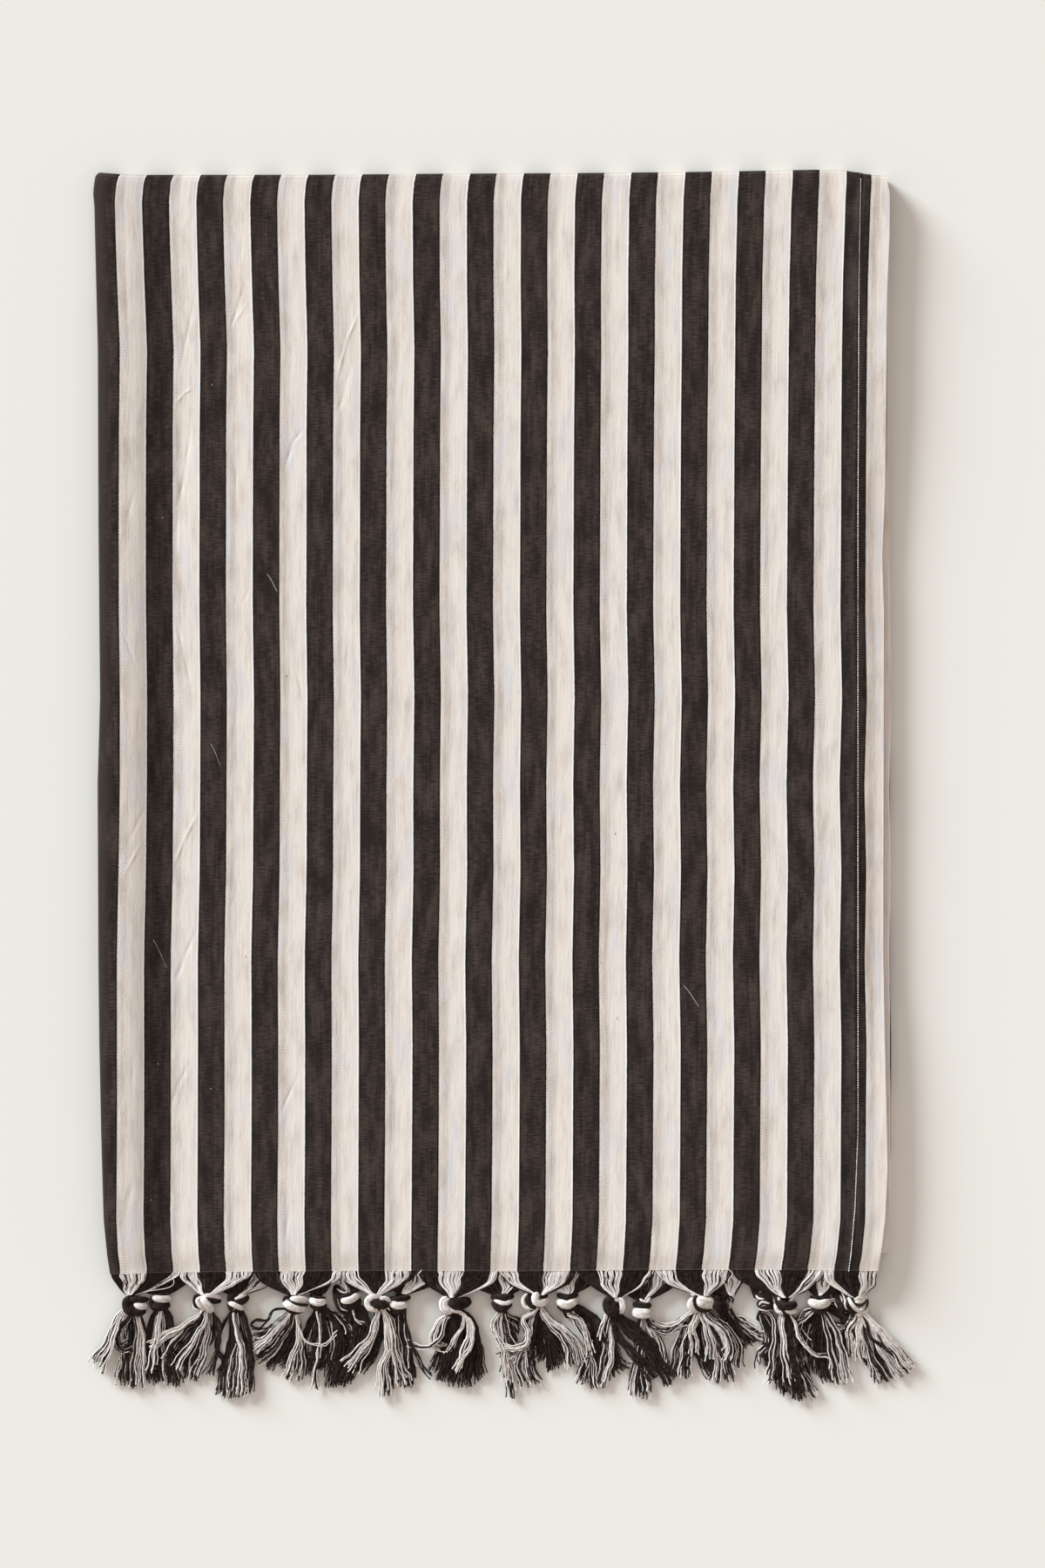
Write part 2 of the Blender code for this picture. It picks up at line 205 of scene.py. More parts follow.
# ---- the folded form -----------------------------------------------------------------------
@dataclass(frozen=True)
class FoldedForm:
    """How the cloth lies: six plies, from one doubling fold and two cross folds."""

    ply_gap: float = 1.7
    solid_sheet: float = 1.0
    section_width: float = 451.0
    top_fold_y: float = 352.4
    bottom_fold_y: float = -267.6
    woven_end_y: float = -278.1
    tucked_end_y: float = 280.0
    hem_width: float = 17.0
    hem_step: float = 3.0
    hem_rise: float = 0.28
    end_droop: float = 1.3
    droop_start_y: float = -265.0
    top_rise_start_y: float = 200.0
    top_radius: float = 3.4
    top_squash: float = 0.35          # the upper cross fold is pressed flatter than round
    bottom_radius: float = 1.7
    fold_margin: float = 1.35
    wave_height: float = 0.18
    wave_sizes: tuple[float, ...] = (31.0, 43.0, 17.0, 60.0)
    wave_shifts: tuple[float, ...] = (2.1, 1.3, 4.0)    # from ply to ply
    crease_end: float = 9.0           # how far a broad crease runs out past its ends
    hem_fall_run: Point = (4.0, 14.0) # where the hem starts to fall, and over what width
    end_shift_run: Point = (14.0, 24.5)
    left_fold: Table = (
        (353.4, -231.4), (349.6, -233.8), (340.9, -235), (332.4, -234.2), (292.4, -233.2),
        (252.4, -232.2), (152.4, -231.8), (52.4, -230.8), (2.4, -232.2), (-97.6, -231.8),
        (-147.6, -231.2), (-197.6, -230.2), (-247.6, -228.8), (-267.6, -226.8), (-278.1, -225.2),
    )
    upper_hem: Table = (
        (349, 220.8), (342.4, 222.4), (317.4, 222.2), (282.4, 220.8), (172.4, 219.8),
        (132.4, 218.2), (102.4, 219.2), (-97.6, 218.8), (-172.6, 220.2), (-217.6, 221.2),
        (-247.6, 219.8), (-262.6, 218), (-278.1, 215.8),
    )
    under_hem: Table = (
        (352.4, 220.8), (172.4, 221.8), (82.4, 222.8), (-212.6, 222.8), (-267.6, 222),
    )
    # How much further the hems of the inner plies reach, by y.
    inner_hem: Table = ((-90.0, -1.2), (-125.0, 0.8), (-215.0, 0.9), (-230.0, -1.2))
    top_fold_rise: Table = (
        (-231, 1.4), (-219, 0.5), (-204, 0.1), (-106, 0.2), (-36, 0.8), (34, 1.1),
        (102, 1.7), (134, 2.2), (166, 2.8), (181, 3.1), (196, 2.9), (211, -0.2),
        (221, -0.8),
    )
    # How far the woven end lies from its mean line, by x.
    woven_end: Table = (
        (-225, -1), (-190, 0), (-133, 0.6), (-60, 1), (10, 0.6), (80, 1.4),
        (150, 1.6), (215, 1),
    )
    # How far the doubling fold stands above the rest, as a share of the height, by y.
    fold_puff: Table = (
        (352, 0), (300, 0.10), (230, 0.18), (130, 0.27), (60, 0.35), (-50, 0.34),
        (-200, 0.30), (-278, 0.22),
    )
    fold_puff_end: Point = (13.0, 40.0)   # where it starts to fall and has fallen, from the fold
    # How far the hem's edge lies below its stitching, as a share of the height, by y.
    hem_fall: Table = (
        (352, 0), (250, 0), (200, 0.15), (150, 0.28), (-100, 0.26),
        (-130, 0.1), (-160, 0), (-278, 0.05),
    )
    # Soft swells: (centre x, centre y, reach, share of the height).
    swells: tuple[tuple[float, ...], ...] = (
        (-205, 300, 70, 0.07), (-120, 190, 60, 0.05), (60, 60, 120, -0.04),
        (-190, -150, 80, 0.05), (150, -200, 90, 0.04), (110, 310, 90, 0.06),
    )
    # Broad creases: (x, y) to (x, y), half width, height; below 0 is a trough.
    creases: tuple[tuple[float, ...], ...] = (
        (-196, 240, -194, -250, 7, -0.5),
        (-90, 262, -86, 225, 5, 0.5),
        (-184, 200, -188, 130, 4.5, -0.5),
        (191.5, 352, 192, 285, 3.5, -0.6),
        (-151, 290, -155, 250, 5, -0.35),
        (-121, 205, -125, 175, 4.5, -0.35),
    )

    @property
    def upper_z(self) -> float:
        """Height of the fringed section's middle."""
        return self.solid_sheet / 2 + 4.5 * self.ply_gap

    @property
    def tucked_z(self) -> float:
        """Height of the tucked section's middle."""
        return self.solid_sheet / 2 + 2.5 * self.ply_gap

    @property
    def lower_z(self) -> float:
        """Height of the lowest section's middle."""
        return self.solid_sheet / 2 + 0.5 * self.ply_gap

    @property
    def top_z(self) -> float:
        """Height of the upper ply's middle."""
        return self.upper_z + self.ply_gap / 2

    def end_y(self, x: float) -> float:
        """Where the woven end lies at a place across the towel."""
        return self.woven_end_y + float(read_table(self.woven_end, x))

    def relief(self, x: np.ndarray, y: np.ndarray) -> np.ndarray:
        """Height that the creases add to the upper ply."""
        total = np.zeros(np.broadcast(x, y).shape)
        for x0, y0, x1, y1, half_width, height in self.creases:
            run_x, run_y = x1 - x0, y1 - y0
            square = run_x ** 2 + run_y ** 2
            along = ((x - x0) * run_x + (y - y0) * run_y) / square
            off_end = np.maximum(0, np.abs(along - 0.5) - 0.5) * math.sqrt(square)
            across = ((x - x0) * run_y - (y - y0) * run_x) / math.sqrt(square)
            total += height * np.exp(-(across / half_width) ** 2 - (off_end / self.crease_end) ** 2)
        return total

    def stack_height(self, x: np.ndarray, y: np.ndarray, z: np.ndarray) -> np.ndarray:
        """Height at which a point of the evenly stacked plies ends up."""
        share = sum(gain * np.exp(-((x - cx) ** 2 + (y - cy) ** 2) / reach ** 2)
                    for cx, cy, reach, gain in self.swells)
        left, right = read_table(self.left_fold, y), read_table(self.upper_hem, y)
        hem = right - (self.hem_width + self.hem_step) * (right - left) / self.section_width
        share = share + self.hem_rise * ease((x - hem) / self.hem_step)
        start, run = self.hem_fall_run
        share = share - read_table(self.hem_fall, y) * np.clip((x - hem - start) / run, 0, 1)
        start, end = self.fold_puff_end
        puff = 1 - ease((x - left - start) / (end - start))
        share = share + read_table(self.fold_puff, y) * puff
        droop_length = self.droop_start_y - self.woven_end_y
        droop = self.end_droop * ease((self.droop_start_y - y) / droop_length)
        height = z * (1 + share) - droop * (z > (self.tucked_z + self.upper_z) / 2)
        ply = z / self.ply_gap
        long_x, long_y, short_y, short_x = self.wave_sizes
        shift_x, shift_y, shift = self.wave_shifts
        wave = np.sin(x / long_x + ply * shift_x) * np.sin(y / long_y + ply * shift_y)
        wave = wave + 0.7 * np.sin(y / short_y + x / short_x + ply * shift)
        above_floor = ease(z / self.ply_gap)
        upper = np.clip((z - self.ply_gap * 2) / (self.ply_gap * 3), 0, 1)
        return height + self.wave_height * wave * above_floor + self.relief(x, y) * upper

    def end_shift(self, x: np.ndarray, y: np.ndarray) -> np.ndarray:
        """How far the woven end's own line moves a point of the upper section."""
        start, run = self.end_shift_run
        near = ease((self.bottom_fold_y + start - y) / run)
        return read_table(self.woven_end, x) * near

    def place(self, across: np.ndarray, up: np.ndarray, stations: np.ndarray,
              inner: np.ndarray) -> np.ndarray:
        """Place points of the doubled section at stations of the fold path.

        Args:
            across: distance from the doubling fold, one for each column.
            up: height over the section's middle, one for each column.
            stations: rows of (y, z, heading in degrees, share of the under hem).
            inner: 1 for a column of the inner ply and 0 for the outer one.

        Returns:
            Points by station, column and axis.
        """
        heading = np.radians(stations[:, 2])[:, None]
        under = stations[:, 3][:, None]
        y = stations[:, 0][:, None] - up * np.sin(heading)
        z = stations[:, 1][:, None] + up * np.cos(heading)
        left, right = read_table(self.left_fold, y), read_table(self.upper_hem, y)
        x = left + (right - left) * across / self.section_width
        in_hem = np.clip(1 - (self.section_width - across) / self.hem_width, 0, 1)
        reach = read_table(self.under_hem, y) - right + inner * read_table(self.inner_hem, y)
        x = x + in_hem * under * reach
        rise = ease((y - self.top_rise_start_y) / (self.top_fold_y - self.top_rise_start_y))
        y = y + rise * read_table(self.top_fold_rise, x) + (under == 0) * self.end_shift(x, y)
        return np.stack([x, y, self.stack_height(x, y, z)], axis=-1)


# ---- finishes ------------------------------------------------------------------------------
@dataclass(frozen=True)
class StripedWeave:
    """Plain-woven cotton with warp stripes: matt, softly streaked along the warp."""

    # The lighter dark serves wear on the ribs and painted sheen by the doubling fold; the
    # near-black is painted shade, the near-white a painted highlight, and the grey tint painted
    # shade over the folds.
    dark: str = "#29211E"
    dark_wear_and_sheen: str = "#4B403A"
    dark_painted_shade: str = "#0E0A08"
    cream: str = "#E6DCD3"
    cream_shaded: str = "#C4B9B0"
    cream_cool: str = "#D9D5D6"
    cream_painted_highlight: str = "#FDFAF6"
    fold_shade_tint: str = "#B4AFAB"
    hem_place: float = 428.0      # across the flat cloth, beside the hem's stitches
    # Painted shade bands over the upper cross fold and beside the doubling fold: middle on the flat
    # cloth, outer and inner half width, strength.
    cross_fold_shade: tuple[float, ...] = (631.5, 4.5, 1.5, 0.75)
    doubling_fall_shade: tuple[float, ...] = (18.5, 16.0, 4.0, 0.4)
    stripe: float = 15.5          # width of one stripe
    wander: float = 0.4           # how far a stripe's edge strays over a hand's width
    edge_line: float = 0.7        # painted highlight on the cream and painted shade on the dark, beside a stripe's edge
    pick: float = 1.2             # weft spacing, drawn twice as coarse as real so that it shows
    pucker: float = 0.27          # how far the cream stripes lie below the dark ones
    # Pressed-in creases: (x, y) to (x, y), half width, height; below 0 is a trough.
    creases: tuple[tuple[float, ...], ...] = (
        (-210.8, 324.9, -208.3, 306, 1.6, -0.25),
        (-211.2, 168.9, -216, 150.9, 1.8, -0.35),
        (-218.3, 91.9, -208.3, 65.4, 1.6, -0.45),
        (-204.9, -11, -214, -30.4, 1.6, -0.35),
        (-207, -31.6, -216, -48.5, 1.5, 0.50),
        (-211.2, -152.9, -212.6, -173.6, 2.4, -0.40),
        (-211.8, -225.1, -214.8, -240.4, 2.4, -0.45),
        (-177.2, 277.4, -184.8, 240.9, 1.8, -0.45),
        (-186.8, 220.9, -182.8, 226.4, 1.5, 0.50),
        (-182.8, 226.4, -177.8, 229.4, 1.5, 0.50),
        (-179.2, 203.4, -182, 181.4, 1.7, -0.55),
        (-182, 181.4, -186.3, 160.4, 2, -0.75),
        (-186.3, 160.4, -187.3, 136, 2.2, -0.85),
        (-186.8, 94.6, -182.8, 77.9, 1.6, -0.50),
        (-182.8, 77.9, -178.5, 58.4, 1.6, -0.45),
        (-175.8, -16.6, -182.8, -30.4, 1.5, 0.60),
        (-182.8, -30.4, -188.3, -44.1, 1.5, 0.60),
        (-176.5, -83.5, -182.8, -98.6, 1.7, -0.45),
        (-182.8, -98.6, -187.6, -111.1, 2, -0.55),
        (-179.9, -158.5, -186.9, -172.1, 2, -0.50),
        (-186.9, -172.1, -189.8, -182.1, 2.2, -0.60),
        (-147.3, 289.9, -152.3, 274.4, 1.6, -0.40),
        (-152.3, 274.4, -156.3, 261.9, 1.7, -0.50),
        (-146.8, 277.4, -155.3, 264.9, 1.5, 0.35),
        (-148.8, 314.9, -150.8, 300.9, 1.8, -0.30),
        (-152.8, 188.4, -152.5, 163.4, 1.8, -0.40),
        (-154.9, 111.4, -149.4, 104.4, 1.8, -0.30),
        (-149.4, 104.4, -145.3, 114, 1.8, -0.30),
        (-149.4, 61.4, -147.3, 47.4, 1.7, -0.25),
        (-114, 206.4, -120.3, 197.9, 1.6, -0.50),
        (-120.3, 197.9, -124.3, 183.9, 1.9, -0.65),
        (-120.3, 73.9, -112.5, 45.9, 1.5, -0.35),
        (-117.4, -165.4, -127.3, -186.9, 1.5, -0.45),
        (-122.3, -241.6, -124.4, -258.5, 2, -0.50),
        (-124.4, -258.5, -114, -271, 1.6, -0.45),
        (-83.3, 270.4, -89, 256.4, 1.5, 0.65),
        (-89, 256.4, -94.6, 235.4, 1.5, 0.55),
        (-86.3, 243.9, -90.3, 227.1, 2.4, -0.50),
        (-90.3, 227.1, -95.3, 213.4, 2.2, -0.45),
        (-87.8, 86.4, -89.8, 63.9, 1.7, -0.25),
        (-89, -157.1, -87.6, -168.1, 1.8, -0.30),
    )

    crease_reach: Point = (0.9, 1.4)    # a crease's patch, as shares of its run and half width
    crease_depth: float = 0.62          # how much of a crease's height its patch has
    top_heights: Point = (6.5, 7.5)     # the creases come in between these heights
    fuzz: float = 0.5                   # how far loose fibres move a stripe's edge
    tooth: float = 0.8                  # how far each pick moves it
    side_width: float = 6.0             # how far a cream stripe's rounded sides reach in
    # Streaks: size across and along the warp, how many finer layers, what sets each apart.
    drift: tuple[float, ...] = (45.0, 130.0, 1.0, 3.0)
    fibre: tuple[float, ...] = (1.5, 0.9, 0.0, 8.0)
    streak: tuple[float, ...] = (1.6, 38.0, 3.0, 0.0)
    mottle: tuple[float, ...] = (7.0, 24.0, 4.0, 5.0)
    cool: tuple[float, ...] = (11.0, 50.0, 2.0, 11.0)
    grain: tuple[float, ...] = (0.7, 0.9, 1.0, 15.0)
    rib: tuple[float, ...] = (5.0, 0.7, 1.0, 21.0)

    def creased(self, tree: bpy.types.NodeTree) -> bpy.types.Node:
        """Add the pressed-in creases.

        Args:
            tree: the node tree.

        Returns:
            A node that gives the height that they add, in millimetres.
        """
        place = add_node(tree, "TexCoord").outputs["Object"]
        long, wide = self.crease_reach
        total = 0.0
        for x0, y0, x1, y1, half_width, height in self.creases:
            half_length = math.hypot(x1 - x0, y1 - y0) * long
            local = add_node(tree, "Mapping", {"vector_type": "TEXTURE"},
                             {"Vector": place,
                              "Location": ((x0 + x1) / 2 * MM, (y0 + y1) / 2 * MM, 0.0),
                              "Rotation": (0.0, 0.0, math.atan2(y1 - y0, x1 - x0)),
                              "Scale": (half_length * MM, half_width * wide * MM, 1.0)})
            ridge = add_node(tree, "TexGradient", {"gradient_type": "QUADRATIC_SPHERE"},
                             {0: local}).outputs[1]
            total = add_node(tree, "Math", MULTIPLY_ADD,
                             {0: ridge, 1: height * self.crease_depth, 2: total})
        up = add_node(tree, "SeparateXYZ", None, {0: place}).outputs[2]
        low, high = self.top_heights
        on_top = add_node(tree, "MapRange", None,
                          {"Value": up, "From Min": low * MM, "From Max": high * MM})
        return add_node(tree, "Math", MULTIPLY, {0: total, 1: on_top})

    def make(self) -> bpy.types.Material:
        """Build the material; its pattern follows the piece's UV map, in metres."""
        material = start_material("woven_striped_cotton", {
            "Roughness": 0.95, "Specular IOR Level": 0.12, "Sheen Weight": 0.03,
            "Sheen Roughness": 0.5})
        add = functools.partial(add_node, material.node_tree)
        uv = add("UVMap", {"uv_map": "flat"})
        place = add("VectorMath", {"operation": "SCALE"}, {0: uv, "Scale": 1 / MM})
        split = add("SeparateXYZ", None, {0: place})
        across, along = split.outputs[0], split.outputs[1]
        streaks = []
        for wide, long, detail, offset in (self.drift, self.fibre, self.streak, self.mottle,
                                           self.cool, self.grain, self.rib):
            stretched = add("Mapping", None, {"Vector": place, "Location": (0.0, 0.0, offset),
                                              "Scale": (1 / wide, 1 / long, 1.0)})
            streaks.append(add("TexNoise", None, {"Vector": stretched, "Scale": 1.0,
                                                  "Detail": detail, "Roughness": 0.6}))
        drift, fibre, streak, mottle, cool, grain, rib = streaks

        # Where the stripe's edge runs: a slow drift, loose fibres and a tooth at each pick.
        tooth = add("Math", {"operation": "PINGPONG"}, {0: along, 1: self.pick / 2})
        edge = across
        for pattern, reach, mean in ((drift, self.wander, 0.5), (fibre, self.fuzz, 0.5),
                                     (tooth, self.tooth, self.pick / 4)):
            centred = add("Math", SUBTRACT, {0: pattern, 1: mean})
            edge = add("Math", MULTIPLY_ADD, {0: centred, 1: reach, 2: edge})
        # From 0 at a cream stripe's left edge, through its right edge, to the next cream one.
        repeat = add("Math", {"operation": "FLOORED_MODULO"}, {0: edge, 1: 2 * self.stripe})
        off_dark, off_groove, off_cross, off_doubling = (
            add("Math", ABSOLUTE, {0: add("Math", SUBTRACT, {0: value, 1: middle})})
            for value, middle in ((repeat, 1.5 * self.stripe), (across, self.hem_place),
                                  (along, self.cross_fold_shade[0]), (across, self.doubling_fall_shade[0])))
        inward = add("Math", SUBTRACT, {0: self.stripe / 2, 1: off_dark})
        left_side, right_side = (
            add("MapRange", SMOOTH, {"Value": repeat, "From Min": self.side_width, "From Max": end})
            for end in (1.3, self.stripe))

        # The cream is greyed by mottling and streaks, with painted shade at its left side below the
        # raised dark stripe; the dark is worn on the ribs.
        mottle_and_painted_shade = wear_and_fold_sheen = mottle
        for pattern, gain in ((left_side, 0.16), (streak, 0.45)):
            mottle_and_painted_shade = add("Math", MULTIPLY_ADD, {0: pattern, 1: gain, 2: mottle_and_painted_shade})
        for pattern, gain in ((rib, 0.7), (streak, 0.4)):
            wear_and_fold_sheen = add("Math", MULTIPLY_ADD, {0: pattern, 1: gain, 2: wear_and_fold_sheen})

        # Soft steps: what is read, where the step starts and ends, and how high it gets.
        line, hem = self.edge_line, self.hem_place
        (is_dark, mottle_and_painted_shade, patch, painted_highlight_line, wear_and_fold_sheen, painted_fold_sheen, painted_shade_line, in_hem, painted_groove_shade,
         *fold_shades) = (
            add("MapRange", SMOOTH,
                {"Value": value, "From Min": start, "From Max": end, "To Max": high})
            for value, start, end, high in (
                (inward, -0.1, 0.1, 1.0), (mottle_and_painted_shade, 0.62, 1.15, 1.0), (cool, 0.5, 0.72, 0.8),
                (inward, -line - 0.15, -line + 0.15, 1.0), (wear_and_fold_sheen, 0.86, 1.34, 1.0),
                (across, -2.0, -10.0, 0.6), (inward, line * 1.5, line * 0.9, 1.0),
                (across, hem - 10.0, hem - 8.0, 0.25), (off_groove, 1.1, 0.4, 0.6),
                (off_cross, *self.cross_fold_shade[1:]), (off_doubling, *self.doubling_fall_shade[1:])))
        # The dark beside the doubling fold gets a painted sheen, and the last picks, beaten in
        # tighter, show on the dark as a paler line.
        wear_and_fold_sheen = add("Math", MAXIMUM, {0: wear_and_fold_sheen, 1: painted_fold_sheen})
        last_picks = add("MapRange", None,
                         {"Value": along, "From Min": 0.9, "From Max": 0.4, "To Max": 0.05})

        # Cream: greyer, painted shade at its left side, cooler in patches, a painted highlight in a
        # line beside the dark yarns. Dark: worn, painted sheen by the doubling fold, painted shade
        # in a black line beside the cream yarns, in the hem and at the groove of its stitches.
        grounds = []
        for ground, layers in (
                (self.cream, ((mottle_and_painted_shade, self.cream_shaded), (patch, self.cream_cool),
                              (painted_highlight_line, self.cream_painted_highlight))),
                (self.dark, ((wear_and_fold_sheen, self.dark_wear_and_sheen), (painted_shade_line, self.dark_painted_shade),
                             (last_picks, self.cream_shaded), (in_hem, self.dark_painted_shade),
                             (painted_groove_shade, self.dark_painted_shade)))):
            ground = linear_colour(ground)
            for share, tint in layers:
                ground = add("Mix", RGBA, {0: share, 6: ground, 7: linear_colour(tint)})
            grounds.append(ground)
        colour = add("Mix", RGBA, {0: is_dark, 6: grounds[0], 7: grounds[1]})
        # Painted shade tones down the lit edge of the upper cross fold and darkens the fall beside
        # the doubling fold.
        for shade_share in fold_shades:
            colour = add("Mix", {**RGBA, "blend_type": "MULTIPLY"},
                         {0: shade_share, 6: colour, 7: linear_colour(self.fold_shade_tint)})

        # Height, in millimetres: creases, puckers, the grain of the weave, yarns that swell.
        rough = add("MapRange", None, {"Value": left_side, "To Min": 0.1, "To Max": 0.26})
        rough = add("Math", MULTIPLY, {0: rough, 1: grain})
        height = self.creased(material.node_tree)
        for pattern, gain in ((left_side, self.pucker), (right_side, self.pucker), (rough, 1.0),
                              (streak, 0.17), (mottle, 0.4), (rib, 0.04)):
            height = add("Math", MULTIPLY_ADD, {0: pattern, 1: gain, 2: height})
        bump = add("Bump", None, {"Height": height, "Strength": 1.0, "Distance": MM})
        return finish_material(material, colour, bump)


@dataclass(frozen=True)
class CottonYarn:
    """Spun cotton yarn: matt, a little fuzzy, its shade uneven from yarn to yarn."""

    name: str
    low: str
    high: str
    sheen: float = 0.02
    yarn_size: float = 2.2        # how far apart two yarns have to be to differ in shade
    fibre_size: float = 1 / 3
    fibre_height: float = 0.1

    def make(self) -> bpy.types.Material:
        """Build the material on Object coordinates."""
        material = start_material(self.name, {
            "Roughness": 0.9, "Specular IOR Level": 0.1, "Sheen Weight": self.sheen})
        add = functools.partial(add_node, material.node_tree)
        place = add("TexCoord").outputs["Object"]
        noise, fibres = (
            add("TexNoise", None, {"Vector": place, "Scale": 1 / MM / size, "Detail": detail})
            for size, detail in ((self.yarn_size, 2.0), (self.fibre_size, 1.0)))
        share = add("MapRange", None, {"Value": noise, "From Min": 0.3, "From Max": 0.7})
        colour = add("Mix", RGBA, {0: share, 6: linear_colour(self.low),
                                   7: linear_colour(self.high)})
        bump = add("Bump", None, {"Height": fibres, "Strength": 0.6,
                                  "Distance": self.fibre_height * MM})
        return finish_material(material, colour, bump)


# ---- the cloth -----------------------------------------------------------------------------
@dataclass
class StripedCloth:
    """The whole cloth as one thin closed sheet on the folded form."""

    form: FoldedForm
    finish: StripedWeave
    thickness: float = 0.8
    hem_thickness: float = 1.15
    column_step: float = 3.6
    inner_columns: int = 24
    bend_steps: int = 8
    upper_step: float = 3.7
    under_step: float = 22.0
    top_steps: int = 12
    bottom_steps: int = 8
    doubling_step: float = 1.0    # cloth lost in the doubling fold
    # Right edge of the first dark stripe and left edge of the last one, by y.
    first_edge: Table = (
        (352.9, -219.2), (347.4, -221.2), (337.4, -222.2), (322.4, -221.8), (292.4, -220.8),
        (252.4, -219.2), (202.4, -219.8), (102.4, -219.8), (52.4, -219.2), (2.4, -219.2),
        (-47.6, -219.8), (-97.6, -220.8), (-197.6, -220.8), (-247.6, -221.2), (-267.6, -220.2),
        (-275.1, -219.2),
    )
    last_edge: Table = (
        (347.4, 197.8), (337.4, 197.2), (322.4, 196.8), (292.4, 195.8), (252.4, 195.2),
        (202.4, 194.8), (102.4, 194.2), (52.4, 195.2), (2.4, 193.8), (-47.6, 194.8),
        (-97.6, 193.8), (-147.6, 194.8), (-247.6, 194.2), (-267.6, 192.2), (-275.1, 190.8),
    )
    last_stripes: float = 0.92    # the stripes past the last edge are drawn together by the hem
    stripes_between: int = 27
    hem_end_y: float = -232.0     # below it the hem turns its last dark warp under
    hem_end_reach: float = 29.6   # how far past the last edge the cloth then shows

    def stripe_place(self, x: np.ndarray, y: np.ndarray) -> np.ndarray:
        """Place across the flat cloth: 0 at the first dark stripe's right edge."""
        first, last = read_table(self.first_edge, y), read_table(self.last_edge, y)
        span = self.stripes_between * self.finish.stripe
        inside = (x - first) * span / (last - first)
        past = (x - last) / self.last_stripes
        past = np.where(y < self.hem_end_y, np.minimum(past, self.hem_end_reach), past)
        return np.where(x <= last, inside, span + past)

    def is_dark(self, x: float) -> bool:
        """Whether the upper ply's warp is dark at a place on the woven end."""
        place = float(self.stripe_place(np.array(x), np.array(self.form.woven_end_y)))
        return place % (2 * self.finish.stripe) >= self.finish.stripe

    def columns(self) -> tuple[np.ndarray, ...]:
        """Middle line of the doubled section.

        Returns:
            Across, up, the angle of its outward side, the hem's share and the inner ply's
            share, for each column from the upper hem round to the lower one.
        """
        form = self.form
        half = form.ply_gap / 2
        flat = np.linspace(form.section_width - form.hem_width - form.hem_step, form.fold_margin,
                           int(form.section_width / self.column_step))[:-1]
        hem = form.section_width - np.array([0.0, 1.5, 6.0, 12.0, form.hem_width - 0.4,
                                             form.hem_width + 0.8])
        outer = np.concatenate([hem, flat])
        angles = np.linspace(90.0, 270.0, self.bend_steps + 1)
        bend_across = form.fold_margin + half * np.cos(np.radians(angles))
        bend_up = half * np.sin(np.radians(angles))
        inner_flat = np.linspace(form.fold_margin, flat[0], self.inner_columns)[1:]
        inner = np.concatenate([inner_flat, hem[::-1]])
        across = np.concatenate([outer, bend_across, inner])
        up = np.concatenate([np.full(len(outer), half), bend_up, np.full(len(inner), -half)])
        angle = np.concatenate([np.full(len(outer), 90.0), angles, np.full(len(inner), 270.0)])
        in_hem = (form.section_width - across <= form.hem_width).astype(float)
        is_inner = np.concatenate([np.zeros(len(outer)), ease((angles - 90) / 180),
                                   np.ones(len(inner))])
        return across, up, angle, in_hem, is_inner

    def stations(self) -> np.ndarray:
        """Rows of (y, z, heading in degrees, share of the under hem) along the fold path."""
        form = self.form
        top_y = form.top_fold_y - form.top_radius * form.top_squash - form.fold_margin
        bottom_y = form.bottom_fold_y + form.bottom_radius + form.fold_margin
        near_end = [form.woven_end_y + step for step in (0.0, 0.8, 2.2, 4.5, 7.5)]
        upper = np.arange(form.woven_end_y + 11.0, top_y - 1.0, self.upper_step)
        rows = [(y, form.upper_z, 0.0, 0.0) for y in [*near_end, *upper]]
        rows += self.turn(top_y, (form.upper_z + form.lower_z) / 2, form.top_radius,
                          form.top_squash, 0.0, self.top_steps)
        rows += [(y, form.lower_z, -180.0, 1.0)
                 for y in np.arange(top_y - 6.0, bottom_y + 4.0, -self.under_step)]
        rows += self.turn(bottom_y, (form.tucked_z + form.lower_z) / 2, form.bottom_radius,
                          1.0, -180.0, self.bottom_steps)
        rows += [(y, form.tucked_z, -360.0, 1.0)
                 for y in np.linspace(bottom_y + 10.0, form.tucked_end_y, 20)]
        return np.array(rows)

    @staticmethod
    def turn(centre_y: float, centre_z: float, radius: float, squash: float, heading: float,
             steps: int) -> list[tuple[float, ...]]:
        """Stations round one cross fold, turning half a circle."""
        rows = []
        for step in range(steps + 1):
            angle = heading - 180.0 * step / steps
            outward = math.radians(angle + 90)
            rows.append((centre_y + radius * squash * math.cos(outward),
                         centre_z + radius * math.sin(outward), angle,
                         1.0 if heading else step / steps))
        return rows

    def flat_places(self, middle: np.ndarray, columns: tuple[np.ndarray, ...],
                    stations: np.ndarray) -> np.ndarray:
        """Place of every point of the middle sheet on the flat cloth, in metres.

        Args:
            middle: points of the middle sheet by station, column and axis.
            columns: the section's columns.
            stations: the fold path's stations.

        Returns:
            (across, along) by station and column.
        """
        _, up, angle, *_ = columns
        on_outer = angle <= 90.0
        s = self.stripe_place(middle[..., 0], middle[..., 1])
        bend_start = int(np.argmax(~on_outer)) - 1
        step = np.hypot(np.diff(middle[..., 0], axis=1), np.diff(up)[None, :])
        gone = np.cumsum(step[:, bend_start:], axis=1)
        s[:, bend_start + 1:] = s[:, bend_start:bend_start + 1] - gone - self.doubling_step
        run = np.hypot(np.diff(stations[:, 0]), np.diff(stations[:, 1]))
        v = np.concatenate([[0.0], np.cumsum(run)])[:, None]
        return np.stack([s, np.broadcast_to(v, s.shape)], axis=-1) * MM

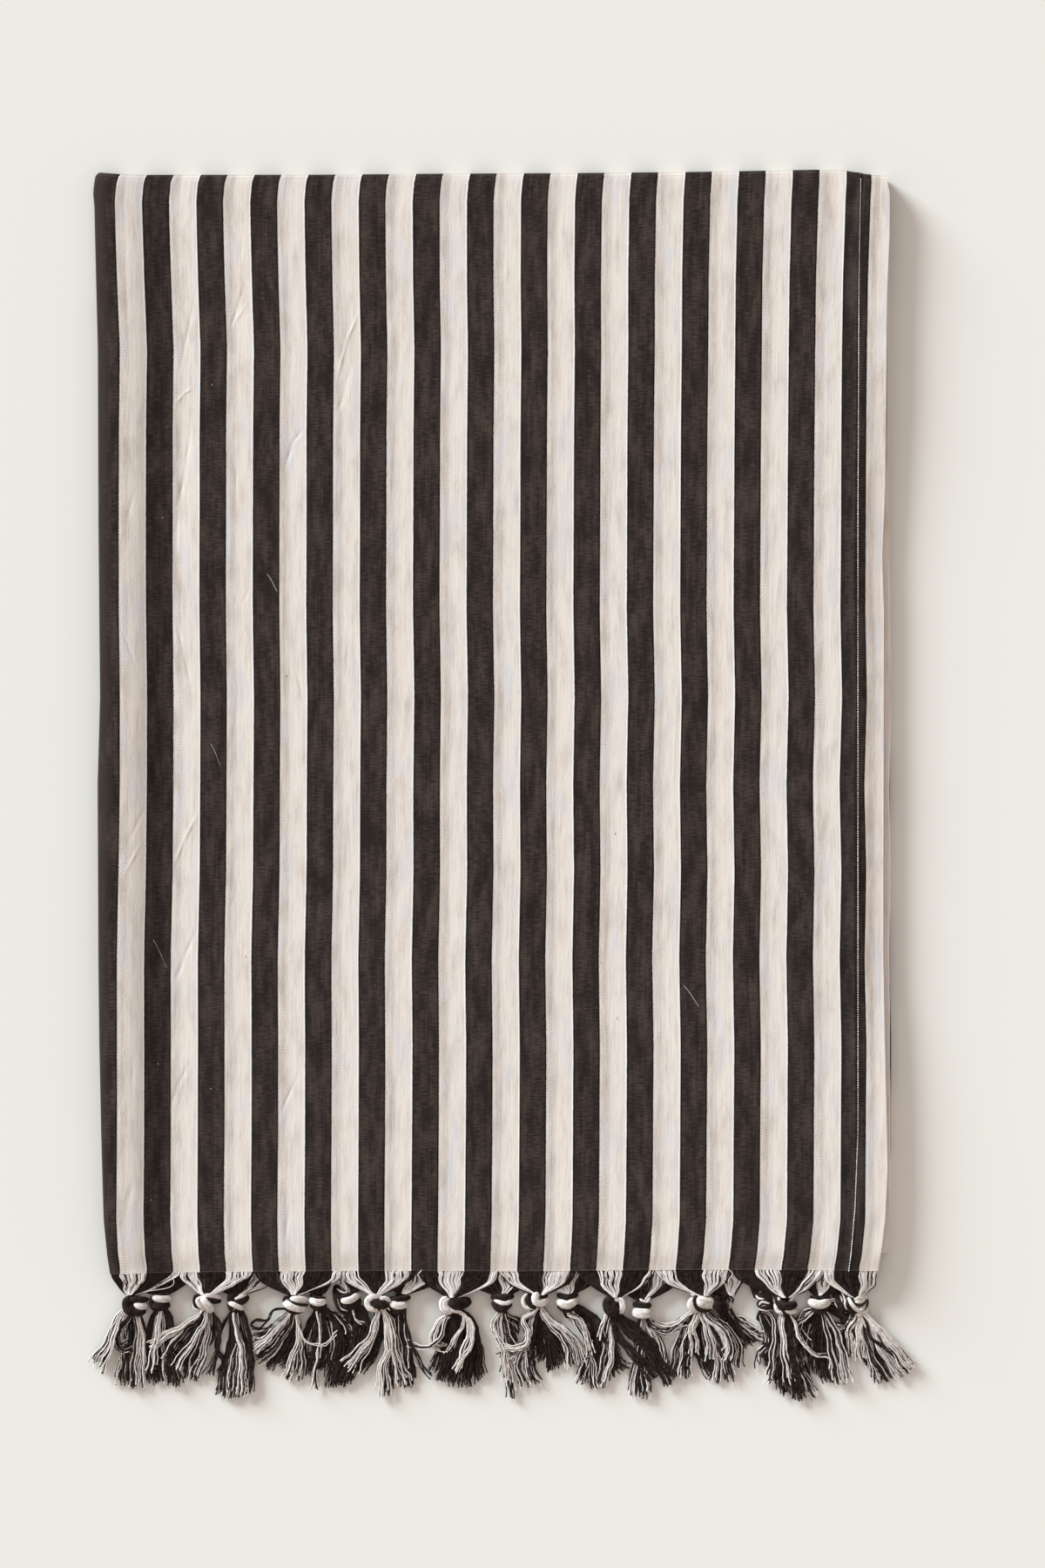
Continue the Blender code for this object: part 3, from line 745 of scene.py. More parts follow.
    def build(self) -> bpy.types.Object:
        """Make the sheet, with its flat places as a UV map."""
        columns, stations = self.columns(), self.stations()
        across, up, angle, in_hem, is_inner = columns
        half = (self.thickness + (self.hem_thickness - self.thickness) * in_hem) / 2
        out_x, out_z = np.cos(np.radians(angle)), np.sin(np.radians(angle))
        sides = [self.form.place(across + side * half * out_x, up + side * half * out_z,
                                 stations, is_inner) for side in (1, -1)]
        middle = self.form.place(across, up, stations, is_inner)
        rows, width = middle.shape[:2]
        points = np.concatenate([side.reshape(-1, 3) for side in sides]) * MM
        number = np.arange(2 * rows * width).reshape(2, rows, width)
        faces = [self.quads(number[0]), self.quads(number[1])[:, ::-1]]
        for rim in (number[:, :, 0], number[:, :, -1], number[:, 0, :], number[:, -1, :]):
            faces.append(self.quads(rim))
        mesh = bpy.data.meshes.new("striped_cloth")
        mesh.from_pydata(points.tolist(), [], np.concatenate(faces).tolist())
        places = np.tile(self.flat_places(middle, columns, stations).reshape(-1, 2), (2, 1))
        corners = np.empty(len(mesh.loops), dtype=np.int32)
        mesh.loops.foreach_get("vertex_index", corners)
        mesh.uv_layers.new(name="flat").data.foreach_set("uv", places[corners].ravel())
        piece = add_object("striped_cloth", mesh)
        bpy.ops.object.mode_set(mode="EDIT")
        bpy.ops.mesh.select_all(action="SELECT")
        bpy.ops.mesh.normals_make_consistent(inside=False)
        bpy.ops.object.mode_set(mode="OBJECT")
        bpy.ops.object.shade_smooth_by_angle(angle=math.radians(60))
        mesh.materials.append(self.finish.make())
        return piece

    @staticmethod
    def quads(number: np.ndarray) -> np.ndarray:
        """Faces between the rows and columns of a grid of vertex numbers."""
        return np.stack([number[:-1, :-1], number[:-1, 1:], number[1:, 1:], number[1:, :-1]],
                        axis=-1).reshape(-1, 4)


# ---- yarns ---------------------------------------------------------------------------------
class Shade(Enum):
    """Which yarns a bundle holds."""

    DARK = 0
    CREAM = 1
    PALE = 2      # cream warp between the cloth and the knot, a lighter copy of the cream yarn as painted light
    MIXED = 3


@dataclass
class YarnSpool:
    """Yarns gathered for one piece, made into one mesh of round tubes."""

    name: str
    finishes: list[bpy.types.Material]
    sides_level: int = 0
    yarns: list[tuple[np.ndarray, Shade, np.ndarray]] = field(default_factory=list)

    def add(self, path: np.ndarray, shade: Shade, radius: float | np.ndarray) -> None:
        """Add one yarn along a path, in millimetres."""
        self.yarns.append((path, shade, np.broadcast_to(radius, len(path))))

    def make(self) -> bpy.types.Object:
        """Turn the yarns into one mesh object."""
        curve = bpy.data.curves.new(self.name, "CURVE")
        curve.dimensions = "3D"
        curve.bevel_depth = MM
        curve.bevel_resolution = self.sides_level
        curve.use_fill_caps = True
        for finish in self.finishes:
            curve.materials.append(finish)
        for path, shade, radius in self.yarns:
            spline = curve.splines.new("POLY")
            spline.points.add(len(path) - 1)
            points = np.column_stack([path * MM, np.ones(len(path))])
            spline.points.foreach_set("co", points.ravel())
            spline.points.foreach_set("radius", np.array(radius, dtype=float))
            spline.material_index = shade.value
            spline.use_smooth = True
        add_object(self.name, curve)
        bpy.ops.object.convert(target="MESH")
        return bpy.context.view_layer.objects.active


@dataclass
class HemStitching:
    """One line of lockstitch along the upper hem."""

    form: FoldedForm
    cloth: StripedCloth
    thread: bpy.types.Material
    pitch: float = 1.4
    length: float = 0.8
    radius: float = 0.28
    arch: tuple[float, ...] = (-0.1, 0.32, 0.32, -0.1)    # of one stitch, over the cloth
    lean: float = 0.12
    line: Table = (
        (351, 205.8), (347.4, 205.8), (292.4, 204.8), (152.4, 204.2), (-197.6, 204.2),
        (-240, 202.6), (-267.6, 200.2), (-275.1, 199.2), (-280, 198.8),
    )

    def build(self) -> bpy.types.Object:
        """Make every stitch as a short raised thread."""
        rng = random.Random(11)
        spool = YarnSpool("hem_stitching", [self.thread])
        y = self.form.top_fold_y - 3.0
        while y > self.form.woven_end_y + 0.5:
            length = self.length * rng.uniform(0.75, 1.1)
            lean = rng.uniform(-self.lean, self.lean)
            at = np.linspace(y, y - length, len(self.arch))
            x = read_table(self.line, at) + lean * np.linspace(-1, 1, len(at))
            top = self.form.stack_height(x, at, self.form.top_z)
            z = top + self.cloth.hem_thickness / 2 + np.array(self.arch)
            radius = self.radius * rng.uniform(0.8, 1.1)
            spool.add(np.column_stack([x, at, z]), Shade(0), radius)
            y -= self.pitch
        return spool.make()


@dataclass
class LooseFibres:
    """Lint on the dark stripes and dark specks of warp fluff on the cream ones."""

    form: FoldedForm
    cloth: StripedCloth
    finishes: list[bpy.types.Material]
    pale: tuple[tuple[Point, Point], ...] = (
        ((-134.8, 122.9), (-128.8, 112.9)), ((-200.2, -87.1), (-192.2, -103.1)),
        ((104.2, -113.1), (113.2, -125.1)), ((-167.2, 25.4), (-161.2, 12.4)),
        ((-166.8, 231.9), (-166.2, 231)), ((-195.2, 155.4), (-194.6, 154.8)),
        ((-197.8, -158.1), (-197, -158.3)), ((-167.2, -172.1), (-166.8, -173)),
        ((-201.8, -236.1), (-201, -236.6)),
    )
    dark: tuple[Point, ...] = (
        (-147.2, -96.1), (-123.8, 64.9), (-178.8, 105.9), (65.2, -25.6), (65.8, -131.6),
        (-41.8, 167.4), (47.8, 184.9), (-135.8, 117.4), (-165.8, 4.9), (-196.8, -100.1),
        (56.8, -100.1), (109.2, -117.6), (16.8, -125.1), (81.8, -155.1),
    )
    thickness: float = 0.12
    bow: float = 0.3
    steps: int = 9

    def build(self) -> bpy.types.Object:
        """Make every fibre as a thin thread lying on the cloth."""
        rng = random.Random(5)
        spool = YarnSpool("loose_fibres", self.finishes)
        for start, end in self.pale:
            self.lay(spool, start, end, Shade.CREAM)
        for x, y in self.dark:
            end = (x + rng.uniform(-0.6, 0.6), y - rng.uniform(0.5, 1.4))
            self.lay(spool, (x, y), end, Shade.DARK)
        return spool.make()

    def lay(self, spool: YarnSpool, start: Point, end: Point, shade: Shade) -> None:
        """Lay one fibre, slightly bowed, from start to end."""
        share = np.linspace(0.0, 1.0, self.steps)
        run_x, run_y = end[0] - start[0], end[1] - start[1]
        bend = self.bow * np.sin(share * 5.0) * min(1.0, math.hypot(run_x, run_y) / 10)
        x = start[0] + run_x * share + bend
        y = start[1] + run_y * share
        top = self.form.stack_height(x, y, self.form.top_z) + self.cloth.thickness / 2
        z = top + self.thickness / 2
        spool.add(np.column_stack([x, y, z]), shade, self.thickness)


# ---- tassels -------------------------------------------------------------------------------
@dataclass(frozen=True)
class Lock:
    """A bundle of yarns in a tail: its shade, count and route from the knot's middle."""

    shade: Shade
    yarns: int
    route: tuple[Point, ...]


@dataclass(frozen=True)
class Wrap:
    """One turn of a knot that shows: a flat rope of one shade, thinner at its ends."""

    shade: Shade
    radius: float
    level: float                     # how high it lies in the knot, from 0 to 1.5
    route: tuple[Point, ...]


@dataclass(frozen=True)
class TasselPlan:
    """One tassel: the warp that it gathers, its knot and the locks of its tail."""

    node: str
    left: float
    right: float
    knot_x: float
    knot_y: float
    knot: tuple[Wrap, ...]
    locks: tuple[Lock, ...]
    flips: tuple[float, ...] = ()    # on the back row: where the warp's shade changes, from dark


@dataclass
class Tassel:
    """Builds one tassel: gathered warp, overhand knot and tail, as one piece."""

    plan: TasselPlan
    form: FoldedForm
    cloth: StripedCloth
    finishes: list[bpy.types.Material]
    warp_pitch: float = 0.72
    warp_radius: float = 0.36
    strand: int = 3                  # yarns that lie together in the gathered warp
    strand_play: float = 0.45
    neck_half_width: float = 2.6
    shade_yarn_chance: float = 0.4          # how often a thin dark yarn, set lower, paints shade between cream strands
    fan_curve: float = 2.0
    crimp: float = 0.45
    knot_half_length: float = 6.0
    knot_reach: float = 8.0
    knot_yarn_radius: float = 0.42
    dome_height: float = 2.2
    wrap_tuck: float = 1.6           # how far a wrap's ends dive into the knot
    wrap_flatness: float = 0.72
    tail_radius: float = 0.38
    tail_fullness: float = 1.2
    filling_pitch: float = 0.75
    filling_reach: float = 15.0
    dark_filling: float = 0.5        # how much of the filling is dark
    lock_width: Point = (0.36, 0.62) # half width of a lock of one yarn, and how it grows
    lock_wave: float = 0.45
    yarn_wave: float = 0.16
    lock_flare: tuple[float, ...] = (0.7, 0.85, 0.6)    # its width at the root, and its growth
    pile_rise: float = 3.6           # how much higher the top lock lies than the lowest one
    tip_heights: Point = (1.6, 2.4)  # of the lowest lock's tip, and how much the top one adds
    tip_play: Point = (-3.4, 2.2)    # how far a yarn ends short of its lock's tip or past it

    def __post_init__(self) -> None:
        """Seed this tassel's own unevenness and settle its row's heights."""
        self.rng = random.Random(self.plan.node)
        self.front = "front" in self.plan.node
        self.ply = 5 if self.front else 4
        self.knot_z = 4.5 if self.front else 3.7
        self.neck_z = 5.2 if self.front else 3.4
        self.pile_z = 2.4 if self.front else 1.2
        self.neck_y = self.plan.knot_y + self.knot_half_length - 1.0

    def warp_shade(self, x: float) -> Shade:
        """Shade of the warp yarn at a place on the woven end."""
        if self.front:
            return Shade.DARK if self.cloth.is_dark(x) else Shade.CREAM
        return Shade.CREAM if sum(x > flip for flip in self.plan.flips) % 2 else Shade.DARK

    def add_fan(self, spool: YarnSpool, steps: int = 15) -> None:
        """Gather the warp from the woven end to the knot's neck.

        Args:
            spool: where the yarns go.
            steps: points along each yarn.
        """
        plan, rng, form = self.plan, self.rng, self.form
        count = int((plan.right - plan.left) / self.warp_pitch)
        share = np.linspace(0.0, 1.0, steps)
        arch = np.sin(math.pi * share)
        swirl = rng.uniform(0, TURN)
        shift, raised = 0.0, 0.0
        for number in range(count):
            side = (number + 0.5) / count * 2 - 1
            x = plan.left + (plan.right - plan.left) * (number + 0.5) / count
            shade = self.warp_shade(x)
            is_cream = shade is Shade.CREAM
            in_strand = number % self.strand
            if in_strand == 0:
                shift = rng.uniform(-self.strand_play, self.strand_play)
                raised = rng.uniform(-self.strand_play, self.strand_play)
            edge_y = form.end_y(x)
            curve = self.fan_curve + 0.3 * math.sin(number * 0.13 + swirl)
            neck = plan.knot_x + side * self.neck_half_width + rng.uniform(-0.4, 0.4)
            # A shade yarn is a thin dark yarn set lower between cream strands: painted shade of the
            # gap.
            is_shade_yarn = is_cream and in_strand == self.strand - 1 and rng.random() < self.shade_yarn_chance
            start = rng.uniform(0.4, 1.5) if is_cream else 0.9
            if is_shade_yarn:
                start = rng.uniform(-4.0, -1.5)
            path_x = neck + (x - neck) * (1 - share ** curve)
            path_y = edge_y + start + (self.neck_y - edge_y - start) * share
            loose, play, rise = (1.5, 1.0, 1.2) if is_cream else (0.5, 0.4, 0.4)
            wave = loose * np.sin(share * 8 + swirl + number * 0.07) * share * (1 - share) * 2.6
            path_x = path_x + wave + play * shift * arch
            path_x = path_x + 0.16 * (1 - in_strand) * np.minimum(1, share * 5)
            if is_cream:
                crimp = self.crimp * np.exp(-share * 3.5) * rng.uniform(0.2, 1.2)
                path_x = path_x + crimp * np.sin(share * 20 + number // self.strand * 0.9)
            ply_z = form.solid_sheet / 2 + self.ply * form.ply_gap
            edge_z = float(form.stack_height(x, edge_y, ply_z))
            fall = ease(share * (1.0 if self.front else 1.5))
            lift = 1.6 * ease(share) * math.sqrt(max(0.0, 1 - side * side))
            path_z = edge_z + (self.neck_z - edge_z) * fall + lift
            path_z = path_z + rise * raised * np.minimum(1, share * 4)
            radius = self.warp_radius
            # A shade yarn stands in for the shade between strands; other cream warp takes the
            # lighter copy of the cream yarn, painted light.
            if is_shade_yarn:
                path_z, shade, radius = path_z - 0.4, Shade.DARK, radius * 0.85
            elif is_cream:
                shade = Shade.PALE
            spool.add(np.column_stack([path_x, path_y, path_z]), shade, radius)
        self.add_flyaways(spool)

    def add_flyaways(self, spool: YarnSpool) -> None:
        """Lay a few loose cream warp ends over the gathered warp."""
        plan, rng = self.plan, self.rng
        for _ in range(4 if self.front else 2):
            x = rng.uniform(plan.left + 3, plan.right - 3)
            if self.warp_shade(x) is not Shade.CREAM:
                continue
            edge_y = self.form.end_y(x)
            z = self.form.top_z - 0.2
            bend = rng.uniform(-2.5, 2.5)
            route = [(x, edge_y + 0.5, z), (x + bend, edge_y - 2.5, z + 0.6),
                     (x + bend * 0.2, edge_y - 5.0, z),
                     (plan.knot_x + (x - plan.knot_x) * 0.3, self.neck_y + 1.5,
                      self.neck_z + 1.8)]
            spool.add(smooth_route(route, 14), Shade.CREAM, 0.22)

    def add_wrap(self, spool: YarnSpool, wrap: Wrap, steps: int = 13) -> None:
        """Lay one wrap of the knot as a flat rope of parallel yarns.

        Args:
            spool: where the yarns go.
            wrap: the wrap.
            steps: points along each yarn.
        """
        plan = self.plan
        flat = smooth_route([(plan.knot_x + x, plan.knot_y + y) for x, y in wrap.route], steps)
        middle_x, middle_y = self.knot_middle()
        off = flat - (plan.knot_x + middle_x, plan.knot_y + middle_y)
        off = np.minimum(1.2, np.sum(off ** 2, axis=1) / self.knot_reach ** 2)
        dome = self.dome_height * (1 - off)
        tuck = np.abs(np.linspace(-1.0, 1.0, steps)) ** 4
        z = self.knot_z - 1.2 + 1.5 * wrap.level + dome - self.wrap_tuck * tuck
        line = np.column_stack([flat, z])
        along = np.gradient(line, axis=0)
        along /= np.linalg.norm(along, axis=1)[:, None]
        sideways = np.cross(along, np.array([0.0, 0.0, 1.0]))
        sideways /= np.linalg.norm(sideways, axis=1)[:, None]
        upward = np.cross(sideways, along)
        thick = min(self.knot_yarn_radius, wrap.radius * 0.6)
        reach = (wrap.radius - thick * 0.6) * (1 - 0.45 * tuck)[:, None]
        count = max(3, round(2 * math.pi * wrap.radius / (1.75 * thick)))
        for number in range(count):
            angle = 2 * math.pi * (number + 0.5) / count + self.rng.uniform(-0.08, 0.08)
            swell = reach * self.rng.uniform(0.94, 1.06)
            out, up = math.cos(angle), self.wrap_flatness * math.sin(angle)
            path = line + swell * (out * sideways + up * upward)
            path[:, 2] = np.maximum(path[:, 2], thick)
            spool.add(path, wrap.shade, thick)

    def knot_middle(self) -> np.ndarray:
        """Middle of the wraps that show, from the plan's knot."""
        return np.array([wrap.route[len(wrap.route) // 2]
                         for wrap in self.plan.knot]).mean(axis=0)

    def add_knot(self, spool: YarnSpool) -> None:
        """Tie the knot: its hidden core, and the wraps that show on it."""
        x, y = self.knot_middle()
        self.add_wrap(spool, Wrap(Shade.DARK, 2.6, -0.9,
                                  ((0.0, 7.5), (x, y + 2), (x, y - 2), (0.0, -8.0))))
        for wrap in self.plan.knot:
            self.add_wrap(spool, wrap)

    def add_tail(self, spool: YarnSpool) -> None:
        """Let the locks run from the knot down to the floor, the first ones lowest."""
        self.add_filling(spool)
        for order, lock in enumerate(self.plan.locks):
            self.add_lock(spool, lock, order / len(self.plan.locks))

    def lock_line(self, lock: Lock, steps: int) -> np.ndarray:
        """Middle line of a lock, seen from above, from inside the knot to its tip."""
        first_x = lock.route[0][0]
        route = [(max(-2.4, min(2.4, first_x * 0.35)), -2.5), *lock.route]
        return smooth_route([(self.plan.knot_x + x, self.plan.knot_y + y) for x, y in route],
                            steps)

    def add_filling(self, spool: YarnSpool, steps: int = 13) -> None:
        """Fill the tail between neighbouring locks with yarns that lie under them.

        Args:
            spool: where the yarns go.
            steps: points along each yarn.
        """
        rng = self.rng
        lines = [self.lock_line(lock, steps) for lock in self.plan.locks if lock.yarns > 4]
        lines.sort(key=lambda line: float(line[steps * 2 // 3, 0]))
        share = np.linspace(0.0, 1.0, steps)
        for left, right in zip(lines, lines[1:]):
            gap = float(np.linalg.norm(right[-2] - left[-2]))
            if gap > self.filling_reach:
                continue
            count = round(gap / self.filling_pitch)
            shades = self.lock_shades(Shade.MIXED, count)
            for number in range(count):
                part = (number + rng.uniform(0.2, 0.8)) / count
                path = left + (right - left) * part
                cut = rng.uniform(0.88, 1.03)
                path = path[0] + (path - path[0]) * (1 - (1 - cut) * share)[:, None]
                waver = np.sin(share * rng.uniform(9, 16) + rng.uniform(0, TURN))
                path[:, 0] += 0.5 * waver * np.minimum(1, share * 3)
                lie = rng.uniform(0.8, 1.8)
                z = lie + (self.knot_z - 1.0 - lie) * (1 - ease(share * 2.5))
                shade = Shade.DARK if rng.random() < self.dark_filling else shades[number]
                spool.add(np.column_stack([path, z]), shade, self.tail_radius)

    def add_lock(self, spool: YarnSpool, lock: Lock, level: float) -> None:
        """Lay one lock of yarns along its route.

        Args:
            spool: where the yarns go.
            lock: the lock.
            level: its place in the pile, from 0 at the bottom to 1 on top.
        """
        rng = self.rng
        steps = 15 if len(lock.route) < 6 else 32
        line = self.lock_line(lock, steps)
        along = np.gradient(line, axis=0)
        along /= np.maximum(np.linalg.norm(along, axis=1), 1e-6)[:, None]
        sideways = np.column_stack([-along[:, 1], along[:, 0]])
        length = float(np.sum(np.linalg.norm(np.diff(line, axis=0), axis=1)))
        share = np.linspace(0.0, 1.0, steps)
        width, growth = self.lock_width
        half_width = width * lock.yarns ** growth
        root, middle, tip = self.lock_flare
        spread = half_width * (root + middle * share + tip * share ** 3)
        pile = self.pile_z + self.pile_rise * level
        root_z = self.knot_z - 1.0 + 1.8 * level
        middle_z = root_z + (pile - root_z) * ease(share * 2.2)
        low, rise = self.tip_heights
        middle_z = middle_z + (low + rise * level - pile) * ease((share - 0.5) / 0.5)
        wave_length = rng.uniform(11, 18)
        wave_start = rng.uniform(0, TURN)
        count = round(lock.yarns * self.tail_fullness)
        shades = self.lock_shades(lock.shade, count)
        for number in range(count):
            side = (number + 0.5) / count * 2 - 1 + rng.uniform(-0.2, 0.2)
            height = rng.uniform(-1, 1) * math.sqrt(max(0.0, 1 - side * side))
            own = rng.uniform(-0.6, 0.6)
            wave = self.lock_wave * np.sin(share * length / wave_length * TURN + wave_start + own)
            turns = share * length / rng.uniform(4, 7)
            wave = wave + self.yarn_wave * np.sin(turns * TURN + rng.uniform(0, 6))
            shift = side * spread + wave * np.minimum(1, share * 3)
            shift = shift + rng.uniform(-1.0, 1.0) * share ** 4 * 1.4
            path = line + sideways * shift[:, None]
            stretch = rng.uniform(*self.tip_play)
            path = path + along * (stretch * share ** 2)[:, None]
            z = middle_z + height * half_width * 0.5 * (1 - 0.5 * share)
            # In a cream lock the dark yarns lie a little lower, as painted shade between strands.
            if lock.shade is Shade.CREAM and shades[number] is Shade.DARK:
                z = z - 0.1
            z = np.maximum(z, self.tail_radius * 1.05)
            thick = self.tail_radius * rng.uniform(0.8, 1.15)
            radius = thick * (1 + 0.15 * (share > 0.97) - 0.1 * share)
            spool.add(np.column_stack([path, z]), shades[number], radius)

    def lock_shades(self, shade: Shade, count: int) -> list[Shade]:
        """Shade of each yarn across a lock: runs of cream with dark yarns between them; in a cream
        lock the lone dark yarns are painted shade between strands.
        """
        if shade is Shade.DARK:
            return [shade] * count
        cream_runs, dark_runs = (1, 1, 2), (2, 2, 3)
        if shade is Shade.CREAM:
            cream_runs, dark_runs = (2, 3), (1,)
        shades: list[Shade] = []
        while len(shades) < count:
            shades += [Shade.CREAM] * self.rng.choice(cream_runs)
            shades += [Shade.DARK] * self.rng.choice(dark_runs)
        turned = self.rng.randrange(2) if shade is Shade.MIXED else 0
        return shades[turned:count] + shades[:turned]

    def build(self) -> bpy.types.Object:
        """Make the tassel's piece."""
        spool = YarnSpool(self.plan.node + "_yarns", self.finishes)
        self.add_fan(spool)
        self.add_knot(spool)
        self.add_tail(spool)
        return spool.make()


D, C, M = Shade.DARK, Shade.CREAM, Shade.MIXED

